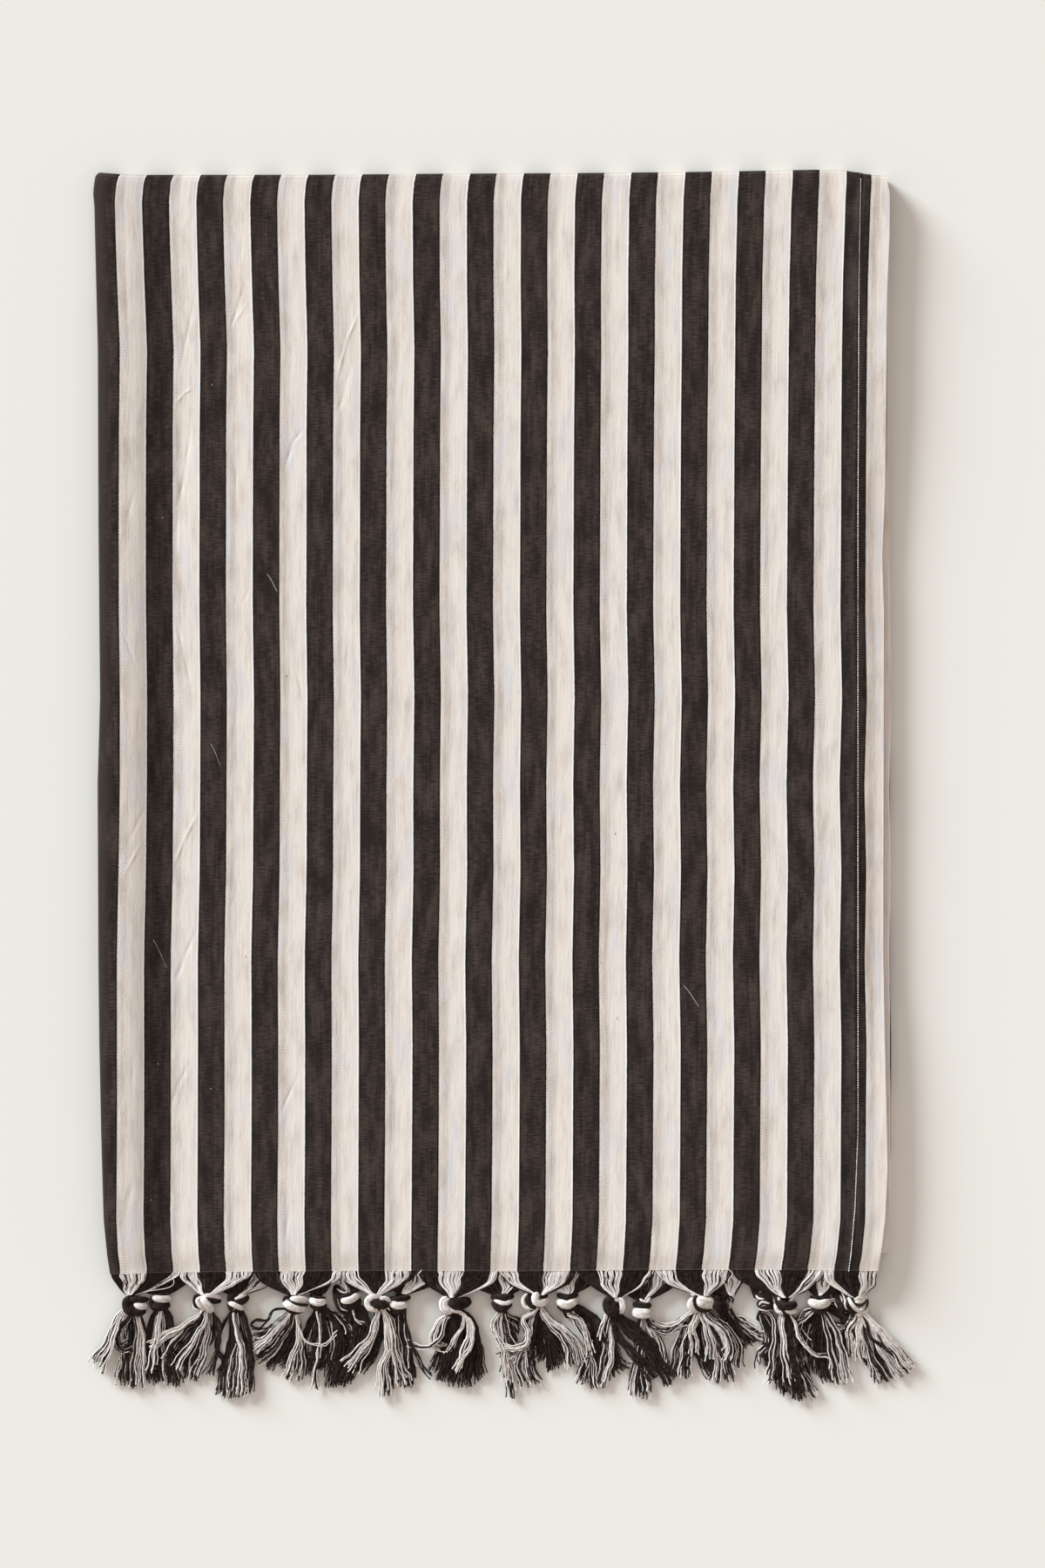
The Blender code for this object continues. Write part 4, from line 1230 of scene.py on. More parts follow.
# Each lock's route is in millimetres from the knot's middle; locks lie on the ones before them.
TASSELS: tuple[TasselPlan, ...] = (
    TasselPlan("tassel_back_01", -224.4, -174.8, -195.8, -296.6, (
        Wrap(D, 2.4, 0.2, ((-6, 0), (-1, -1.5), (4, -0.5))),
        Wrap(D, 1.2, 0.6, ((-5.6, 4.2), (-6, 0.5), (-4, -3.5))),
        Wrap(C, 1.9, 1.0, ((-5, 3.9), (0, 3.0), (5.6, 3.4)))), (
        Lock(D, 8, ((-5.5, -8), (-8.3, -19), (-7, -33), (-4.6, -43.5))),
        Lock(D, 10, ((0.5, -9), (-0.5, -22), (-1.5, -35), (-2, -45))),
        Lock(M, 6, ((1.2, -9), (1, -22), (2, -35), (3, -45))),
        Lock(D, 10, ((3.6, -8), (5.5, -16), (4.8, -30), (6.8, -46.5))),
        Lock(D, 5, ((5, -6), (6.6, -13), (6, -22), (10, -46))),
        Lock(C, 6, ((-1, -7), (-2, -16), (-4.4, -29), (-5.3, -38))))),
    TasselPlan("tassel_back_02", -174.8, -129.2, -153.2, -296.6, (
        Wrap(D, 1.8, 0.7, ((-2.4, 7.5), (-2.8, 4.5), (-3.6, 2))),
        Wrap(D, 1.0, 0.6, ((-4.3, 0), (-2.5, -3.2), (2, -4.4))),
        Wrap(D, 1.8, 0.9, ((-1, 2.2), (3, 1.5), (7, 4))),
        Wrap(C, 1.5, 1.2, ((-3.5, 0.8), (0, -0.5), (4, -2.6))),
        Wrap(C, 0.9, 1.3, ((-0.4, 2.8), (2.6, 4.2), (6, 5.4)))), (
        Lock(D, 4, ((-4, -7), (-9.5, -17), (-10.8, -25), (-6.5, -36), (-9, -41))),
        Lock(D, 8, ((-2.5, -9), (-2.5, -20), (-6, -33), (-9, -51))),
        Lock(M, 10, ((-1, -9), (0, -20), (-4, -35), (-5.5, -53))),
        Lock(M, 8, ((1, -12), (1.5, -25), (0.5, -38), (-1.5, -53))),
        Lock(D, 8, ((4.5, -6), (7, -15), (8.7, -28), (7.4, -50))),
        Lock(C, 10, ((-0.5, -6), (1, -15), (4, -26), (4.5, -40), (4.2, -52)))), (-142.8,)),
    TasselPlan("tassel_back_03", -129.2, -95.8, -105.4, -295.6, (
        Wrap(D, 1.5, 0.4, ((-4.4, -1.6), (0, -3.4), (4, -1.6))),
        Wrap(D, 0.9, 1.0, ((-5, 4.2), (-1, 2.9), (3.6, 2.4))),
        Wrap(C, 2.0, 1.1, ((-5, 1.6), (-1, 0.1), (3.8, 0.6)))), (
        Lock(D, 12, ((-2, -6), (-6, -14), (-9, -24), (-6, -38))),
        Lock(D, 12, ((0, -6), (-1, -20), (-3, -34), (-4, -42))),
        Lock(M, 4, ((0.5, -12), (1, -25), (-1, -38), (-1, -50))),
        Lock(D, 10, ((2, -6), (4, -20), (3, -34), (1, -40))),
        Lock(D, 10, ((3, -4), (9, -9), (12, -18), (12, -31))),
        Lock(M, 6, ((3, -3), (8, -6), (14, -10), (19, -18))),
        Lock(D, 4, ((3, -4), (7, -9), (11, -14))),
        Lock(C, 3, ((-1, -6), (1, -15), (0, -26), (-4.5, -50))))),
    TasselPlan("tassel_back_04", -95.8, -71.8, -86.4, -294.6, (
        Wrap(D, 2.3, 0.4, ((-5, -2.5), (0, -3), (4.5, 0))),
        Wrap(D, 1.2, 0.9, ((-6, 2.4), (-2, 3.0), (1, 4.8))),
        Wrap(C, 1.9, 1.2, ((-5.6, 0), (-1, 0.6), (4, 3.5))),
        Wrap(D, 2.4, -0.4, ((-9, 8), (-8, 1), (-5, -7))),
        Wrap(C, 0.4, 0.9, ((-9, 7), (-5, 4.8), (-1.4, 5))),
        Wrap(C, 0.4, 0.6, ((-8.4, 4), (-8, 0), (-5.6, -4.8), (-1.4, -6)))), (
        Lock(D, 14, ((-2, -6), (-5, -20), (-9, -35), (-12, -49))),
        Lock(D, 14, ((0, -6), (-2, -20), (-6, -35), (-8, -49))),
        Lock(D, 12, ((2, -6), (2, -20), (-1, -35), (-3, -47))),
        Lock(D, 8, ((4, -5), (6, -15), (4, -30), (0, -42))),
        Lock(D, 9, ((4, -3), (9, -11), (9, -24), (5, -37))),
        Lock(C, 2, ((1, -6), (3, -12), (8, -13)))), (-96.0, -90.0)),
    TasselPlan("tassel_back_05", -71.8, -28.2, -56.8, -295.6, (
        Wrap(D, 1.9, 0.4, ((-7, -3.6), (-3, -5), (1, -4))),
        Wrap(C, 2.1, 1.0, ((-7.2, -0.6), (-3, -1.6), (1.8, -1.0))),
        Wrap(D, 1.6, 1.2, ((-7, 2.4), (-2, 2.2), (3.6, 2.9)))), (
        Lock(D, 8, ((-1, -6), (0, -18), (3, -30), (4.5, -46))),
        Lock(M, 8, ((-3, -6), (-3, -18), (-1, -32), (1, -48))),
        Lock(M, 4, ((1, -8), (2, -18), (4.5, -30), (6, -40))),
        Lock(D, 3, ((2, -14), (5, -24), (9, -33), (15.5, -43)))), (-55.2, -40.0)),
    TasselPlan("tassel_back_06", -28.2, 19.2, 0.2, -297.1, (
        Wrap(D, 1.9, 0.8, ((-6, 4.2), (0, 4.6), (6, 5))),
        Wrap(D, 2.0, 0.9, ((-5.4, 1.6), (-1.4, -2.2), (4.8, 0.8))),
        Wrap(C, 1.2, 1.2, ((-4.8, 3.6), (-1.5, 1.6), (2, 1.0), (5.8, 2.8)))), (
        Lock(D, 6, ((2.5, -6), (9, -9), (10, -14))),
        Lock(M, 8, ((0, -8), (1, -20), (4, -38), (5.5, -52))),
        Lock(M, 8, ((1, -7), (3, -16), (6, -23), (8, -28))),
        Lock(C, 8, ((-1, -6), (-1, -18), (1, -27), (3, -45))),
        Lock(C, 8, ((-2, -5), (-6, -12), (-2.5, -19), (0, -25), (1, -40)))), (-2.2, 8.0)),
    TasselPlan("tassel_back_07", 19.2, 59.2, 38.2, -296.1, (
        Wrap(D, 1.0, 0.6, ((-6, -2), (-2, -4.2), (3.6, -3))),
        Wrap(D, 1.7, 0.9, ((-6, 4.6), (-1, 3.7), (5, 5))),
        Wrap(C, 2.3, 1.1, ((-6.2, 1), (-1, -0.8), (4.6, 1.6)))), (
        Lock(D, 8, ((4, -5), (13, -11), (17, -22), (17, -40))),
        Lock(D, 10, ((4, -4), (11, -8), (15, -16), (15, -30), (12, -46))),
        Lock(M, 8, ((3, -8), (9, -20), (13, -33), (15, -48))),
        Lock(M, 8, ((2, -6), (8, -12), (12, -22), (10, -35), (6, -45))),
        Lock(D, 12, ((4, -2), (11, -5), (17, -12), (19, -23))),
        Lock(C, 8, ((0, -6), (5, -8), (10, -15), (13, -28)))), (19.0, 44.2)),
    TasselPlan("tassel_back_08", 59.2, 105.2, 80.8, -299.6, (
        Wrap(D, 1.8, 0.9, ((-5, 2.8), (0, 2.8), (4.4, 2.2))),
        Wrap(C, 2.9, 1.0, ((-5.4, -1.6), (-1, -2.3), (4.4, -2.0))),
        Wrap(D, 0.35, 1.75, ((1, -3.0), (3, -2.2), (4.6, -1.4))),
        Wrap(C, 0.7, 1.2, ((-2.4, 6.8), (1.8, 4.0), (5, 8)))), (
        Lock(D, 12, ((-1, -6), (-2, -20), (-1, -34), (0, -46))),
        Lock(M, 12, ((-1, -8), (-3, -25), (-4, -38), (-5, -50))),
        Lock(M, 8, ((0, -8), (0, -25), (2, -38), (3, -50))),
        Lock(C, 4, ((2, -7), (6, -18), (10, -30), (10, -36))),
        Lock(M, 6, ((3, -6), (9, -16), (13, -28), (12, -34))),
        Lock(M, 8, ((2, -6), (7, -12), (14, -13), (23, -8)))), (86.8, 96.0)),
    TasselPlan("tassel_back_09", 105.2, 139.8, 130.8, -296.6, (
        Wrap(D, 2.0, 0.6, ((-8, 6), (-7, 1), (-6, -4))),
        Wrap(D, 1.8, 0.8, ((-11, 1), (-7, -1), (-4.6, 0.6))),
        Wrap(D, 0.35, 0.4, ((-4.5, 0), (-4, -2.5), (-2, -3), (-0.6, -1), (-2, 1), (-4, 0.6)))), (
        Lock(M, 5, ((0, -4), (6, -8), (13, -12), (17, -18))),
        Lock(M, 10, ((1, -4), (5, -10), (12, -15), (18, -19))),
        Lock(D, 8, ((-3, -4), (-4, -12), (1, -20), (6, -27))),
        Lock(D, 4, ((2, -6), (8, -18), (10, -23), (12, -24))),
        Lock(D, 3, ((-2, -1), (-4, 2), (-2, 4), (1, 2), (0, -1)))), (124.0, 138.0)),
    TasselPlan("tassel_back_10", 139.8, 167.8, 147.8, -298.1, (
        Wrap(D, 2.3, 0.6, ((-1.4, 6.4), (3, 6), (7.4, 3))),
        Wrap(D, 2.3, 0.6, ((-0.6, 2), (4, 0.5), (8, 0.4))),
        Wrap(C, 0.5, 1.5, ((-2.2, 7), (-0.6, 5.2), (3.6, 4.7))),
        Wrap(C, 0.55, 1.5, ((-0.4, 0.4), (1, 2.6), (6.6, 1.7))),
        Wrap(C, 0.5, 1.4, ((0.6, -0.2), (3, 1.1), (5, 0.2))),
        Wrap(C, 0.6, 1.0, ((0.2, -1.3), (3.6, -1.8), (7.2, -1.5))),
        Wrap(C, 0.5, 0.8, ((7.4, 6), (9.4, 0.4), (9.8, -3)))), (
        Lock(M, 6, ((1, -8), (4, -20), (0, -28), (0, -34))),
        Lock(M, 8, ((3, -4), (7, -14), (4, -24), (1, -27))),
        Lock(D, 8, ((2, -5), (5, -12), (8, -20), (4, -30))),
        Lock(M, 8, ((5, -3), (9, -12), (8, -24), (7, -42)))), (150.0, 153.0)),
    TasselPlan("tassel_back_11", 167.8, 214.4, 182.8, -296.6, (
        Wrap(D, 2.0, 0.4, ((-4.4, -2.6), (0, -4), (4.4, -2.6))),
        Wrap(D, 1.3, 0.9, ((-5.2, 3.8), (0, 3.5), (5.2, 3.9))),
        Wrap(C, 2.5, 1.1, ((-6.2, 1.6), (-0.5, 0.1), (5.4, 1.6)))), (
        Lock(D, 10, ((-1, -5), (-3, -12), (-7, -20), (-9, -27))),
        Lock(D, 10, ((0, -5), (1, -18), (1, -32), (3, -44))),
        Lock(D, 10, ((-1, -5), (-4, -16), (-4, -28), (-3, -39))),
        Lock(D, 10, ((-4, -3), (-10, -6), (-15, -13), (-16, -22))),
        Lock(D, 12, ((-3, -4), (-8, -8), (-11, -16), (-10, -29))),
        Lock(M, 7, ((-3, -3), (-9, -5), (-12, -12), (-8, -23))),
        Lock(D, 12, ((4, -2), (12, -5), (15, -14), (14, -29))),
        Lock(M, 6, ((5, 1), (13, 1), (17, -6), (13, -13), (7, -12))),
        Lock(D, 6, ((4, -3), (11, -6), (17, -10), (20, -9))),
        Lock(M, 5, ((-3, -4), (-9, -8), (-13, -11), (-14, -14))),
        Lock(M, 10, ((2, -6), (5, -18), (8, -32), (11, -45))),
        Lock(C, 8, ((3, -5), (8, -13), (12, -24), (16, -44)))), (180.0, 191.0)),
    TasselPlan("tassel_front_01", -224.6, -184.8, -213.2, -296.1, (
        Wrap(D, 2.0, 0.4, ((-1, 0), (1, -3.5), (4, -5.4), (7.6, -4.4))),
        Wrap(C, 1.9, 0.8, ((2.2, -0.4), (5.5, -1.6), (9, -1.0))),
        Wrap(D, 2.3, 1.0, ((0, 3.2), (-2.4, 1.4), (-2.2, -3), (0.4, -6.2))),
        Wrap(D, 1.7, 1.3, ((-1.4, 2.8), (4, 2.4), (9.4, 2.2))),
        Wrap(C, 0.4, 0.7, ((-4.4, -3), (-3.6, -5.6), (-1.2, -7.4)))), (
        Lock(D, 8, ((5.5, -9), (8.3, -22), (9, -34), (9.5, -43))),
        Lock(M, 6, ((-4, -12), (-6, -26), (-6.4, -34), (-9.2, -46))),
        Lock(M, 12, ((4, -10), (6, -24), (5, -36), (4.5, -47))),
        Lock(M, 12, ((2.7, -9), (3.5, -20), (1.5, -32), (0.8, -47.5))),
        Lock(M, 10, ((-2, -9), (-8.4, -17), (-5.5, -25.5), (0.5, -23.5))),
        Lock(M, 9, ((-8.6, -9), (-12.8, -21), (-21.5, -34.5))),
        Lock(C, 6, ((-7, -10), (-10.2, -22), (-17, -38.5))))),
    TasselPlan("tassel_front_02", -184.8, -142.8, -169.8, -296.1, (
        Wrap(D, 0.9, 0.6, ((-2.4, 4.6), (-6.2, 4.2), (-7, 0), (-5, -3.2))),
        Wrap(C, 0.5, 0.6, ((-7.9, 1), (-7, -2.8), (-3.6, -4.2))),
        Wrap(C, 2.4, 0.8, ((-3.4, 3.4), (0, 0.2), (2.6, -4.8))),
        Wrap(C, 1.1, 1.2, ((-3.2, 3.6), (-5.2, 1.8), (-4.2, -0.6), (-1.4, -3.6))),
        Wrap(D, 1.4, 1.2, ((-1.4, 3.4), (3, 1.5), (7.8, 1.2))),
        Wrap(C, 1.5, 1.4, ((-1.8, 4.6), (3, 4.7), (8, 3.2)))), (
        Lock(D, 10, ((2.5, -9), (2, -20), (-6, -28), (-15, -30))),
        Lock(M, 14, ((0, -9), (-4, -20), (-9, -32), (-10.5, -43))),
        Lock(M, 12, ((1.5, -9), (0, -20), (-3, -33), (-8, -43.5))),
        Lock(D, 3, ((4.5, -8), (7, -20), (4, -33), (-1.5, -42))),
        Lock(D, 3, ((4, -6), (8, -13), (6.5, -25), (3, -40))),
        Lock(M, 8, ((-5, -9), (-13, -15.5), (-20, -24), (-24.8, -32))),
        Lock(C, 10, ((-3.5, -6), (-11, -12), (-22.5, -18.5), (-32.5, -25))),
        Lock(C, 6, ((-1, -10), (-7, -20), (-13, -29), (-17.5, -36.5))))),
    TasselPlan("tassel_front_03", -142.8, -91.8, -119.8, -296.1, (
        Wrap(D, 0.8, 0.8, ((-1.4, 3.8), (-5.2, 3), (-5.6, 0))),
        Wrap(D, 0.9, 0.4, ((-4.6, -3.2), (0, -5.4), (5, -4.6))),
        Wrap(C, 2.3, 0.9, ((-5.6, 0.6), (-1, -1.6), (6.4, -3.2))),
        Wrap(C, 1.9, 1.2, ((-1.6, 2.4), (3, 2.5), (7.8, 1.9))),
        Wrap(D, 0.7, 1.6, ((-2.4, 2), (2, -0.2), (8, -1.0)))), (
        Lock(D, 10, ((0.5, -10), (0, -20), (-3, -28), (-9, -34))),
        Lock(D, 10, ((-1, -10), (-4, -21), (-10, -30), (-15, -37))),
        Lock(M, 8, ((3, -12), (4, -24), (4, -33), (2.5, -43))),
        Lock(M, 14, ((-2, -10), (-7, -20), (-14, -28), (-20, -33))),
        Lock(C, 7, ((2, -9), (3, -18), (0, -29), (-4.5, -43))),
        Lock(M, 8, ((-4, -6), (-12, -13), (-20, -17.5), (-22, -18))),
        Lock(C, 9, ((-2.5, -5.5), (-8.5, -13), (-15, -19.5), (-24, -28))),
        Lock(C, 2, ((3.5, -16), (9, -23), (16, -24), (25, -16.5))),
        Lock(D, 3, ((-5, -3), (-12, -4.5), (-15, -9), (-22, -10), (-24, -12), (-20, -14.5),
                    (-16, -12))))),
    TasselPlan("tassel_front_04", -91.8, -48.8, -72.2, -296.1, (
        Wrap(D, 2.3, 0.9, ((-2.8, -0.2), (1.5, -0.4), (6.6, -1.4))),
        Wrap(C, 1.7, 1.2, ((3, 4.3), (-2.5, 3.9), (-5.2, 1.2), (-4.2, -2.3), (0.4, -3.7))),
        Wrap(C, 1.1, 1.3, ((2.0, 2.8), (5, 3.2), (7.9, 1.4))),
        Wrap(C, 0.5, 0.9, ((4.2, -5), (6, -2.2), (7.8, -4.2)))), (
        Lock(D, 8, ((11, -7), (16, -18), (19, -30), (20, -46))),
        Lock(D, 10, ((2.5, -9), (2, -20), (-3, -31), (-9, -39))),
        Lock(M, 10, ((8, -9), (10.5, -22), (13, -34), (18.5, -47))),
        Lock(M, 8, ((5, -9), (7, -20), (5, -36), (6, -52))),
        Lock(C, 10, ((7.5, -9), (9.5, -21), (11, -31), (14.5, -45.5))),
        Lock(C, 8, ((4, -5), (5.5, -15), (6.5, -25), (3, -38), (3, -53))),
        Lock(M, 8, ((-0.5, -13), (-3, -21), (-10, -32), (-15, -41))),
        Lock(C, 9, ((1, -5), (-1, -11), (-4, -20), (-11, -28), (-18, -36.5))))),
    TasselPlan("tassel_front_05", -48.8, -2.2, -28.2, -297.6, (
        Wrap(D, 0.5, 0.7, ((-5.4, 4.8), (-7.9, 1), (-6.8, -2.8), (-3.6, -4.5))),
        Wrap(C, 2.7, 0.9, ((-2, 4.6), (-5.0, 2.4), (-4.8, -1.2), (-1, -3.0))),
        Wrap(C, 0.8, 1.2, ((-3.4, -0.2), (0, -2.7), (5, -3.5))),
        Wrap(D, 3.2, 1.1, ((-2.4, 2.2), (3, 1.3), (9.6, 2.8)))), (
        Lock(D, 14, ((8, -5), (13, -16), (13.5, -30), (11, -43))),
        Lock(D, 14, ((-1, -6), (-3.5, -18), (-7.5, -29), (-11, -37))),
        Lock(D, 14, ((1, -6), (0, -18), (-3, -30), (-6, -42))),
        Lock(D, 12, ((3, -6), (4, -20), (2, -32), (0.5, -45))),
        Lock(D, 12, ((6, -6), (9, -18), (9, -30), (7, -45))),
        Lock(D, 8, ((9, -6), (14, -18), (16, -32), (17, -41))),
        Lock(C, 9, ((-2, -5), (-7.5, -9), (-11.3, -17), (-10, -23), (-5, -24))),
        Lock(M, 3, ((-11, -22), (-20, -24), (-27, -20.5))),
        Lock(C, 4, ((6, -4.5), (5.5, -11), (1, -20), (-3, -27))),
        Lock(C, 5, ((7.5, -6), (8.5, -16), (5, -27), (3, -36))),
        Lock(C, 5, ((10, -9), (11.5, -18), (6, -29), (1, -36))))),
    TasselPlan("tassel_front_06", -2.2, 42.8, 21.8, -296.1, (
        Wrap(C, 1.0, 0.8, ((-7.2, 5.6), (-9.6, 2.5), (-8.6, -1.8), (-3.8, -3.0))),
        Wrap(D, 1.2, 0.8, ((-6, 5.2), (-7.2, 2), (-6, -0.6), (-2.4, -2.6))),
        Wrap(D, 1.4, 1.0, ((-1, 5.6), (1.8, 4.4), (4, 4.4))),
        Wrap(C, 2.0, 1.3, ((1, 6.2), (-2.6, 4.6), (-2.4, 1.2), (1, 0.2), (4.4, 2.4)))), (
        Lock(D, 10, ((-1.5, -6), (-1, -16), (-2, -27), (-5, -32))),
        Lock(D, 12, ((1, -8), (4, -20), (6, -30), (6.5, -38))),
        Lock(D, 8, ((2, -8), (7, -20), (11, -28), (13, -33))),
        Lock(M, 12, ((-3, -8), (-8, -22), (-12, -35), (-8, -48))),
        Lock(M, 10, ((-2, -8), (-6, -24), (-6, -36), (-2, -47))),
        Lock(M, 10, ((1.5, -6), (8, -14), (15, -22), (18.5, -36))),
        Lock(C, 6, ((-5, -10), (-6, -20), (-10, -29), (-16, -33))),
        Lock(C, 12, ((2, -4), (7, -11), (14, -15), (20, -23), (24.5, -33))),
        Lock(C, 9, ((-3.5, -5), (-9, -9), (-7, -17), (-7, -23), (-14, -26), (-24, -27))))),
    TasselPlan("tassel_front_07", 42.8, 87.2, 65.8, -297.6, (
        Wrap(D, 2.3, 0.8, ((-3, 3), (-1.5, -1), (0, -5))),
        Wrap(C, 1.7, 1.0, ((-1.6, 3.8), (2.4, 3.8), (3.6, 0.4), (2.4, -3.8))),
        Wrap(D, 3.0, 1.0, ((-2, 4.8), (-4.8, 2), (-4.4, -1.5), (-0.8, -4.8)))), (
        Lock(D, 10, ((-5, -7), (-10, -18), (-11, -32), (-13, -43))),
        Lock(M, 8, ((-4, -12), (-6, -25), (-8, -36), (-10, -46))),
        Lock(D, 5, ((-2, -10), (0, -25), (4, -34), (7, -35))),
        Lock(C, 7, ((-3, -18), (-2.5, -28), (-4.5, -37), (-7, -45))),
        Lock(D, 12, ((1, -4), (12, -13), (22, -25), (27, -36))),
        Lock(D, 14, ((-2, -6), (1, -18), (10, -28), (22, -41))),
        Lock(D, 16, ((-1, -5), (6.5, -13.5), (17.5, -23.5), (31, -44))),
        Lock(C, 4, ((-5, -4), (-8, -10), (-9, -18))))),
    TasselPlan("tassel_front_08", 87.2, 132.2, 115.8, -296.6, (
        Wrap(C, 2.3, 0.8, ((-5.6, 3.4), (-7.2, -0.5), (-3.6, -3.8))),
        Wrap(C, 3.4, 0.9, ((-4, 2.4), (1, 1.0), (6.6, 0))),
        Wrap(D, 0.9, 1.5, ((-3, 6.4), (-5.4, 2.8), (-3.8, -2), (0, -3.9), (6.6, -1.2))),
        Wrap(C, 0.9, 1.2, ((-7.4, 6.8), (-5.7, 5.6), (-4, 6.8)))), (
        Lock(D, 12, ((-2, -8), (-4, -24), (0, -34), (4, -40))),
        Lock(M, 12, ((1, -8), (4, -24), (8, -36), (7, -44))),
        Lock(M, 10, ((-4.5, -5), (-12, -16), (-15, -26), (-17, -42))),
        Lock(M, 10, ((-3, -8), (-9, -20), (-10, -32), (-11, -42))),
        Lock(M, 10, ((2, -8), (10, -22), (14, -34), (17, -43))),
        Lock(M, 8, ((4, -5), (12, -12), (19, -20), (20, -36))),
        Lock(C, 6, ((-5, -4), (-14, -10), (-22, -13), (-30, -9.5))),
        Lock(C, 12, ((-3, -5), (-6, -13), (-5, -22), (-4.5, -28))),
        Lock(C, 12, ((-1, -5), (2, -13), (4, -22), (5, -31))),
        Lock(C, 12, ((0.5, -5), (7, -12), (13, -18), (15, -25), (13, -31))))),
    TasselPlan("tassel_front_09", 132.2, 184.8, 162.8, -297.6, (
        Wrap(D, 1.9, 0.6, ((-2, -1), (0, -4), (2, -6))),
        Wrap(D, 2.4, 1.0, ((-5, 2.4), (0, -0.2), (6, 1))),
        Wrap(C, 1.5, 1.1, ((-1, -1.2), (2.6, -3.0), (6.4, -3.0))),
        Wrap(C, 1.0, 1.3, ((-5.9, 1.4), (-4.8, -2.4), (-0.4, -4.6))),
        Wrap(C, 0.8, 0.9, ((-4.4, 7.5), (-3.6, 4.5), (-3.5, 1.8))),
        Wrap(C, 0.8, 0.9, ((2.4, 2.4), (5, 5.6), (10, 8)))), (
        Lock(D, 6, ((2, -10), (7, -26), (11, -36), (13, -46))),
        Lock(M, 12, ((-3, -8), (-3.5, -24), (-6, -36), (-8, -44))),
        Lock(D, 10, ((-2, -8), (-1, -26), (-2, -40), (0, -50))),
        Lock(M, 12, ((1.5, -6), (5, -22), (10, -38), (16, -52))),
        Lock(D, 10, ((0.5, -6), (3, -22), (6, -38), (8, -54))),
        Lock(C, 9, ((-1.5, -6), (-1, -18), (0.5, -31), (4, -43))),
        Lock(C, 5, ((4, -6), (9, -19), (16, -27), (26, -29.5), (27, -35))))),
    TasselPlan("tassel_front_10", 184.8, 215.4, 204.2, -297.6, (
        Wrap(D, 2.6, -0.2, ((-13, 9), (-10, 3), (-7, -5))),
        Wrap(C, 0.4, 0.5, ((-12.5, 9), (-9, 4), (-9, -3))),
        Wrap(C, 0.4, 0.5, ((-10, 10), (-7.4, 4), (-7.6, -2))),
        Wrap(C, 0.4, 0.6, ((-14, 4), (-11, -1), (-6, -4))),
        Wrap(D, 1.5, 0.6, ((-5.8, 3.4), (-4.8, -1), (0, -3.8))),
        Wrap(C, 0.5, 0.8, ((-6.9, 4.4), (-6.5, -0.8), (-2.8, -3.6))),
        Wrap(C, 1.7, 0.8, ((-0.4, -5), (3.5, -3.4), (6.2, -0.6))),
        Wrap(C, 1.1, 1.2, ((-5.1, 4.8), (-3, 0.8), (1, -2.6), (6, 1.6))),
        Wrap(D, 0.5, 1.6, ((-2, 1.8), (2, 0.5), (6, 3.6), (5.8, 0.6), (1.4, -3.8))),
        Wrap(C, 0.9, 1.3, ((-1, 2.6), (2, 2.6), (5.2, 4.2))),
        Wrap(C, 1.2, 1.4, ((-1.5, 4.2), (1.5, 4.9), (5, 5.0)))), (
        Lock(M, 10, ((3, -10), (7, -24), (9, -34), (12, -43))),
        Lock(M, 6, ((3, -8), (6, -22), (12, -36), (16, -43))),
        Lock(C, 12, ((0, -6), (-4, -15), (-3.5, -22), (-2, -29))),
        Lock(C, 9, ((2, -6), (1, -16), (2, -24), (3, -31))),
        Lock(C, 10, ((4, -8), (11, -20), (17, -30), (26, -41))),
        Lock(C, 14, ((5, -6), (13, -14), (22, -25), (31, -36.5))),
        Lock(D, 4, ((4.5, -8), (8, -18), (17, -25), (27, -31))))),
)


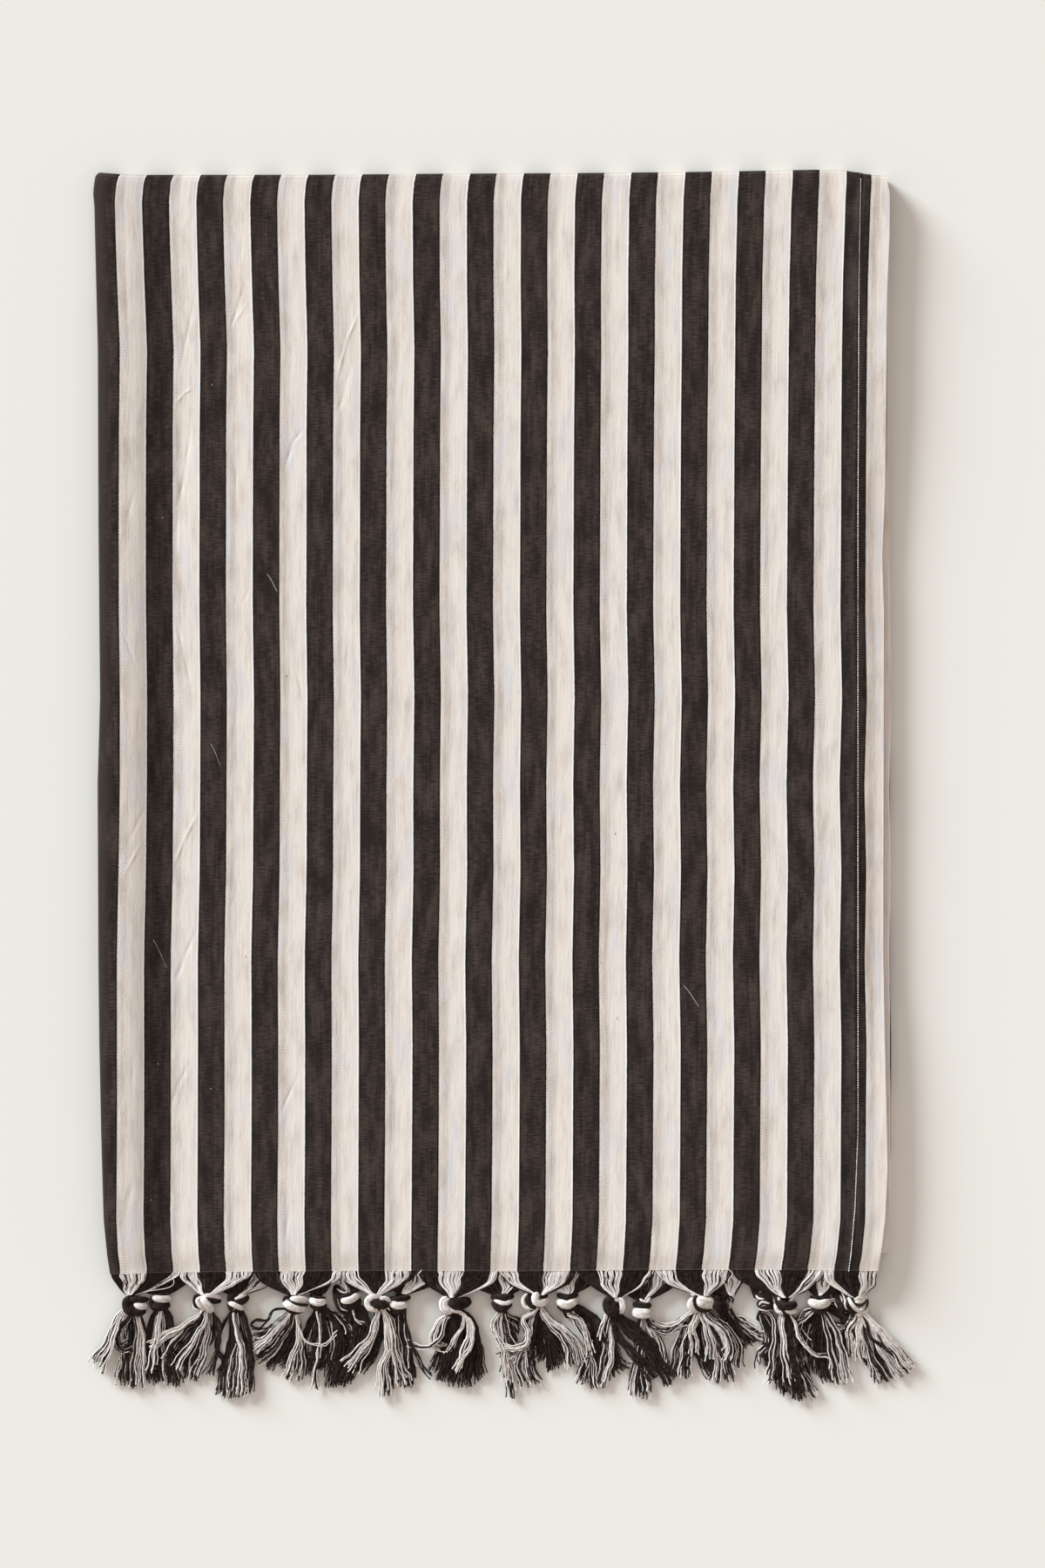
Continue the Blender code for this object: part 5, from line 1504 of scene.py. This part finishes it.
# ---- studio --------------------------------------------------------------------------------
@dataclass
class Studio:
    """The floor, the light and the camera straight above."""

    floor_colour: str = "#EEEBE4"
    floor_size: float = 6000.0
    middle: Point = (11.75, 2.375)      # what the picture's middle shows
    distance: float = 3500.0
    framed_height: float = 900.0        # what the picture's height shows, at the cloth's top
    cloth_top: float = 9.0
    sensor: float = 36.0
    sky_colour: tuple[float, float, float] = (0.59, 0.53, 0.50)
    sun: float = 4.96
    sun_colour: tuple[float, float, float] = (0.872, 1.0, 1.064)
    sun_azimuth: float = 137.0          # where the light comes from, counted from +X
    sun_height: float = 17.3
    sun_softness: float = 25.0

    def add_camera(self) -> None:
        """Look straight down, with +Y up in the picture."""
        data = bpy.data.cameras.new("camera")
        data.sensor_fit = "VERTICAL"
        data.sensor_height = self.sensor
        data.lens = self.sensor * (self.distance - self.cloth_top) / self.framed_height
        data.clip_end = 50.0
        camera = add_object("camera", data)
        camera.location = (self.middle[0] * MM, self.middle[1] * MM, self.distance * MM)
        bpy.context.scene.camera = camera

    def add_light(self) -> None:
        """One cool soft key from the upper left, and an even warm sky."""
        data = bpy.data.lights.new("key", "SUN")
        data.energy = self.sun
        data.color = self.sun_colour
        data.angle = math.radians(self.sun_softness)
        key = add_object("key", data)
        key.rotation_euler = (0.0, math.radians(90 - self.sun_height),
                              math.radians(self.sun_azimuth))
        world = bpy.data.worlds.new("sky")
        world.use_nodes = True
        background = world.node_tree.nodes["Background"]
        background.inputs["Color"].default_value = (*self.sky_colour, 1.0)
        background.inputs["Strength"].default_value = 1.0
        bpy.context.scene.world = world
        bpy.context.scene.view_settings.view_transform = "Standard"

    def add_floor(self) -> None:
        """A plain pale floor just under the towel."""
        bpy.ops.mesh.primitive_plane_add(size=self.floor_size * MM, location=(0, 0, -0.2 * MM))
        floor = bpy.context.active_object
        floor.name = "floor"
        material = start_material("painted_board", {
            "Base Color": linear_colour(self.floor_colour), "Roughness": 1.0,
            "Specular IOR Level": 0.0})
        floor.data.materials.append(material)
        floor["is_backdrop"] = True


def main() -> None:
    """Build the towel in order and report each piece."""
    logging.basicConfig(level=logging.INFO, format="%(message)s")
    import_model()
    cad_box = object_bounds()
    studio = Studio()
    studio.add_camera()
    studio.add_light()
    studio.add_floor()

    form = FoldedForm()
    cloth_maker = StripedCloth(form, StripedWeave())
    cloth = cloth_maker.build()
    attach(cloth, "root")
    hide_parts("cloth")
    LOG.info("%s: %d faces", cloth.name, len(cloth.data.polygons))

    # The cream yarn comes in two copies: the gathered warp's is painted lighter and the knots' and
    # tails' darker, standing in for how light falls on them; the lighter one is also the hem's
    # thread.
    dark = CottonYarn("spun_cotton_dark", "#1D1512", "#3C302A").make()
    cream = CottonYarn("spun_cotton_cream", "#CFC5BC", "#F1EAE4").make()
    pale = CottonYarn("pale_cream_thread_and_painted_light_warp", "#E9E1DA", "#FFFDFA").make()
    stitches = HemStitching(form, cloth_maker, pale).build()
    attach(stitches, "root")
    LOG.info("%s: %d faces", stitches.name, len(stitches.data.polygons))

    fibres = LooseFibres(form, cloth_maker, [dark, cream]).build()
    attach(fibres, "root")
    LOG.info("%s: %d faces", fibres.name, len(fibres.data.polygons))

    for plan in TASSELS:
        tassel = Tassel(plan, form, cloth_maker, [dark, cream, pale]).build()
        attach(tassel, "root")
        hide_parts(plan.node)
        LOG.info("%s: %d faces", tassel.name, len(tassel.data.polygons))

    [[list(map(float, corner)) for corner in box] for box in (cad_box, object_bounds())]


if __name__ == "__main__":
    main()
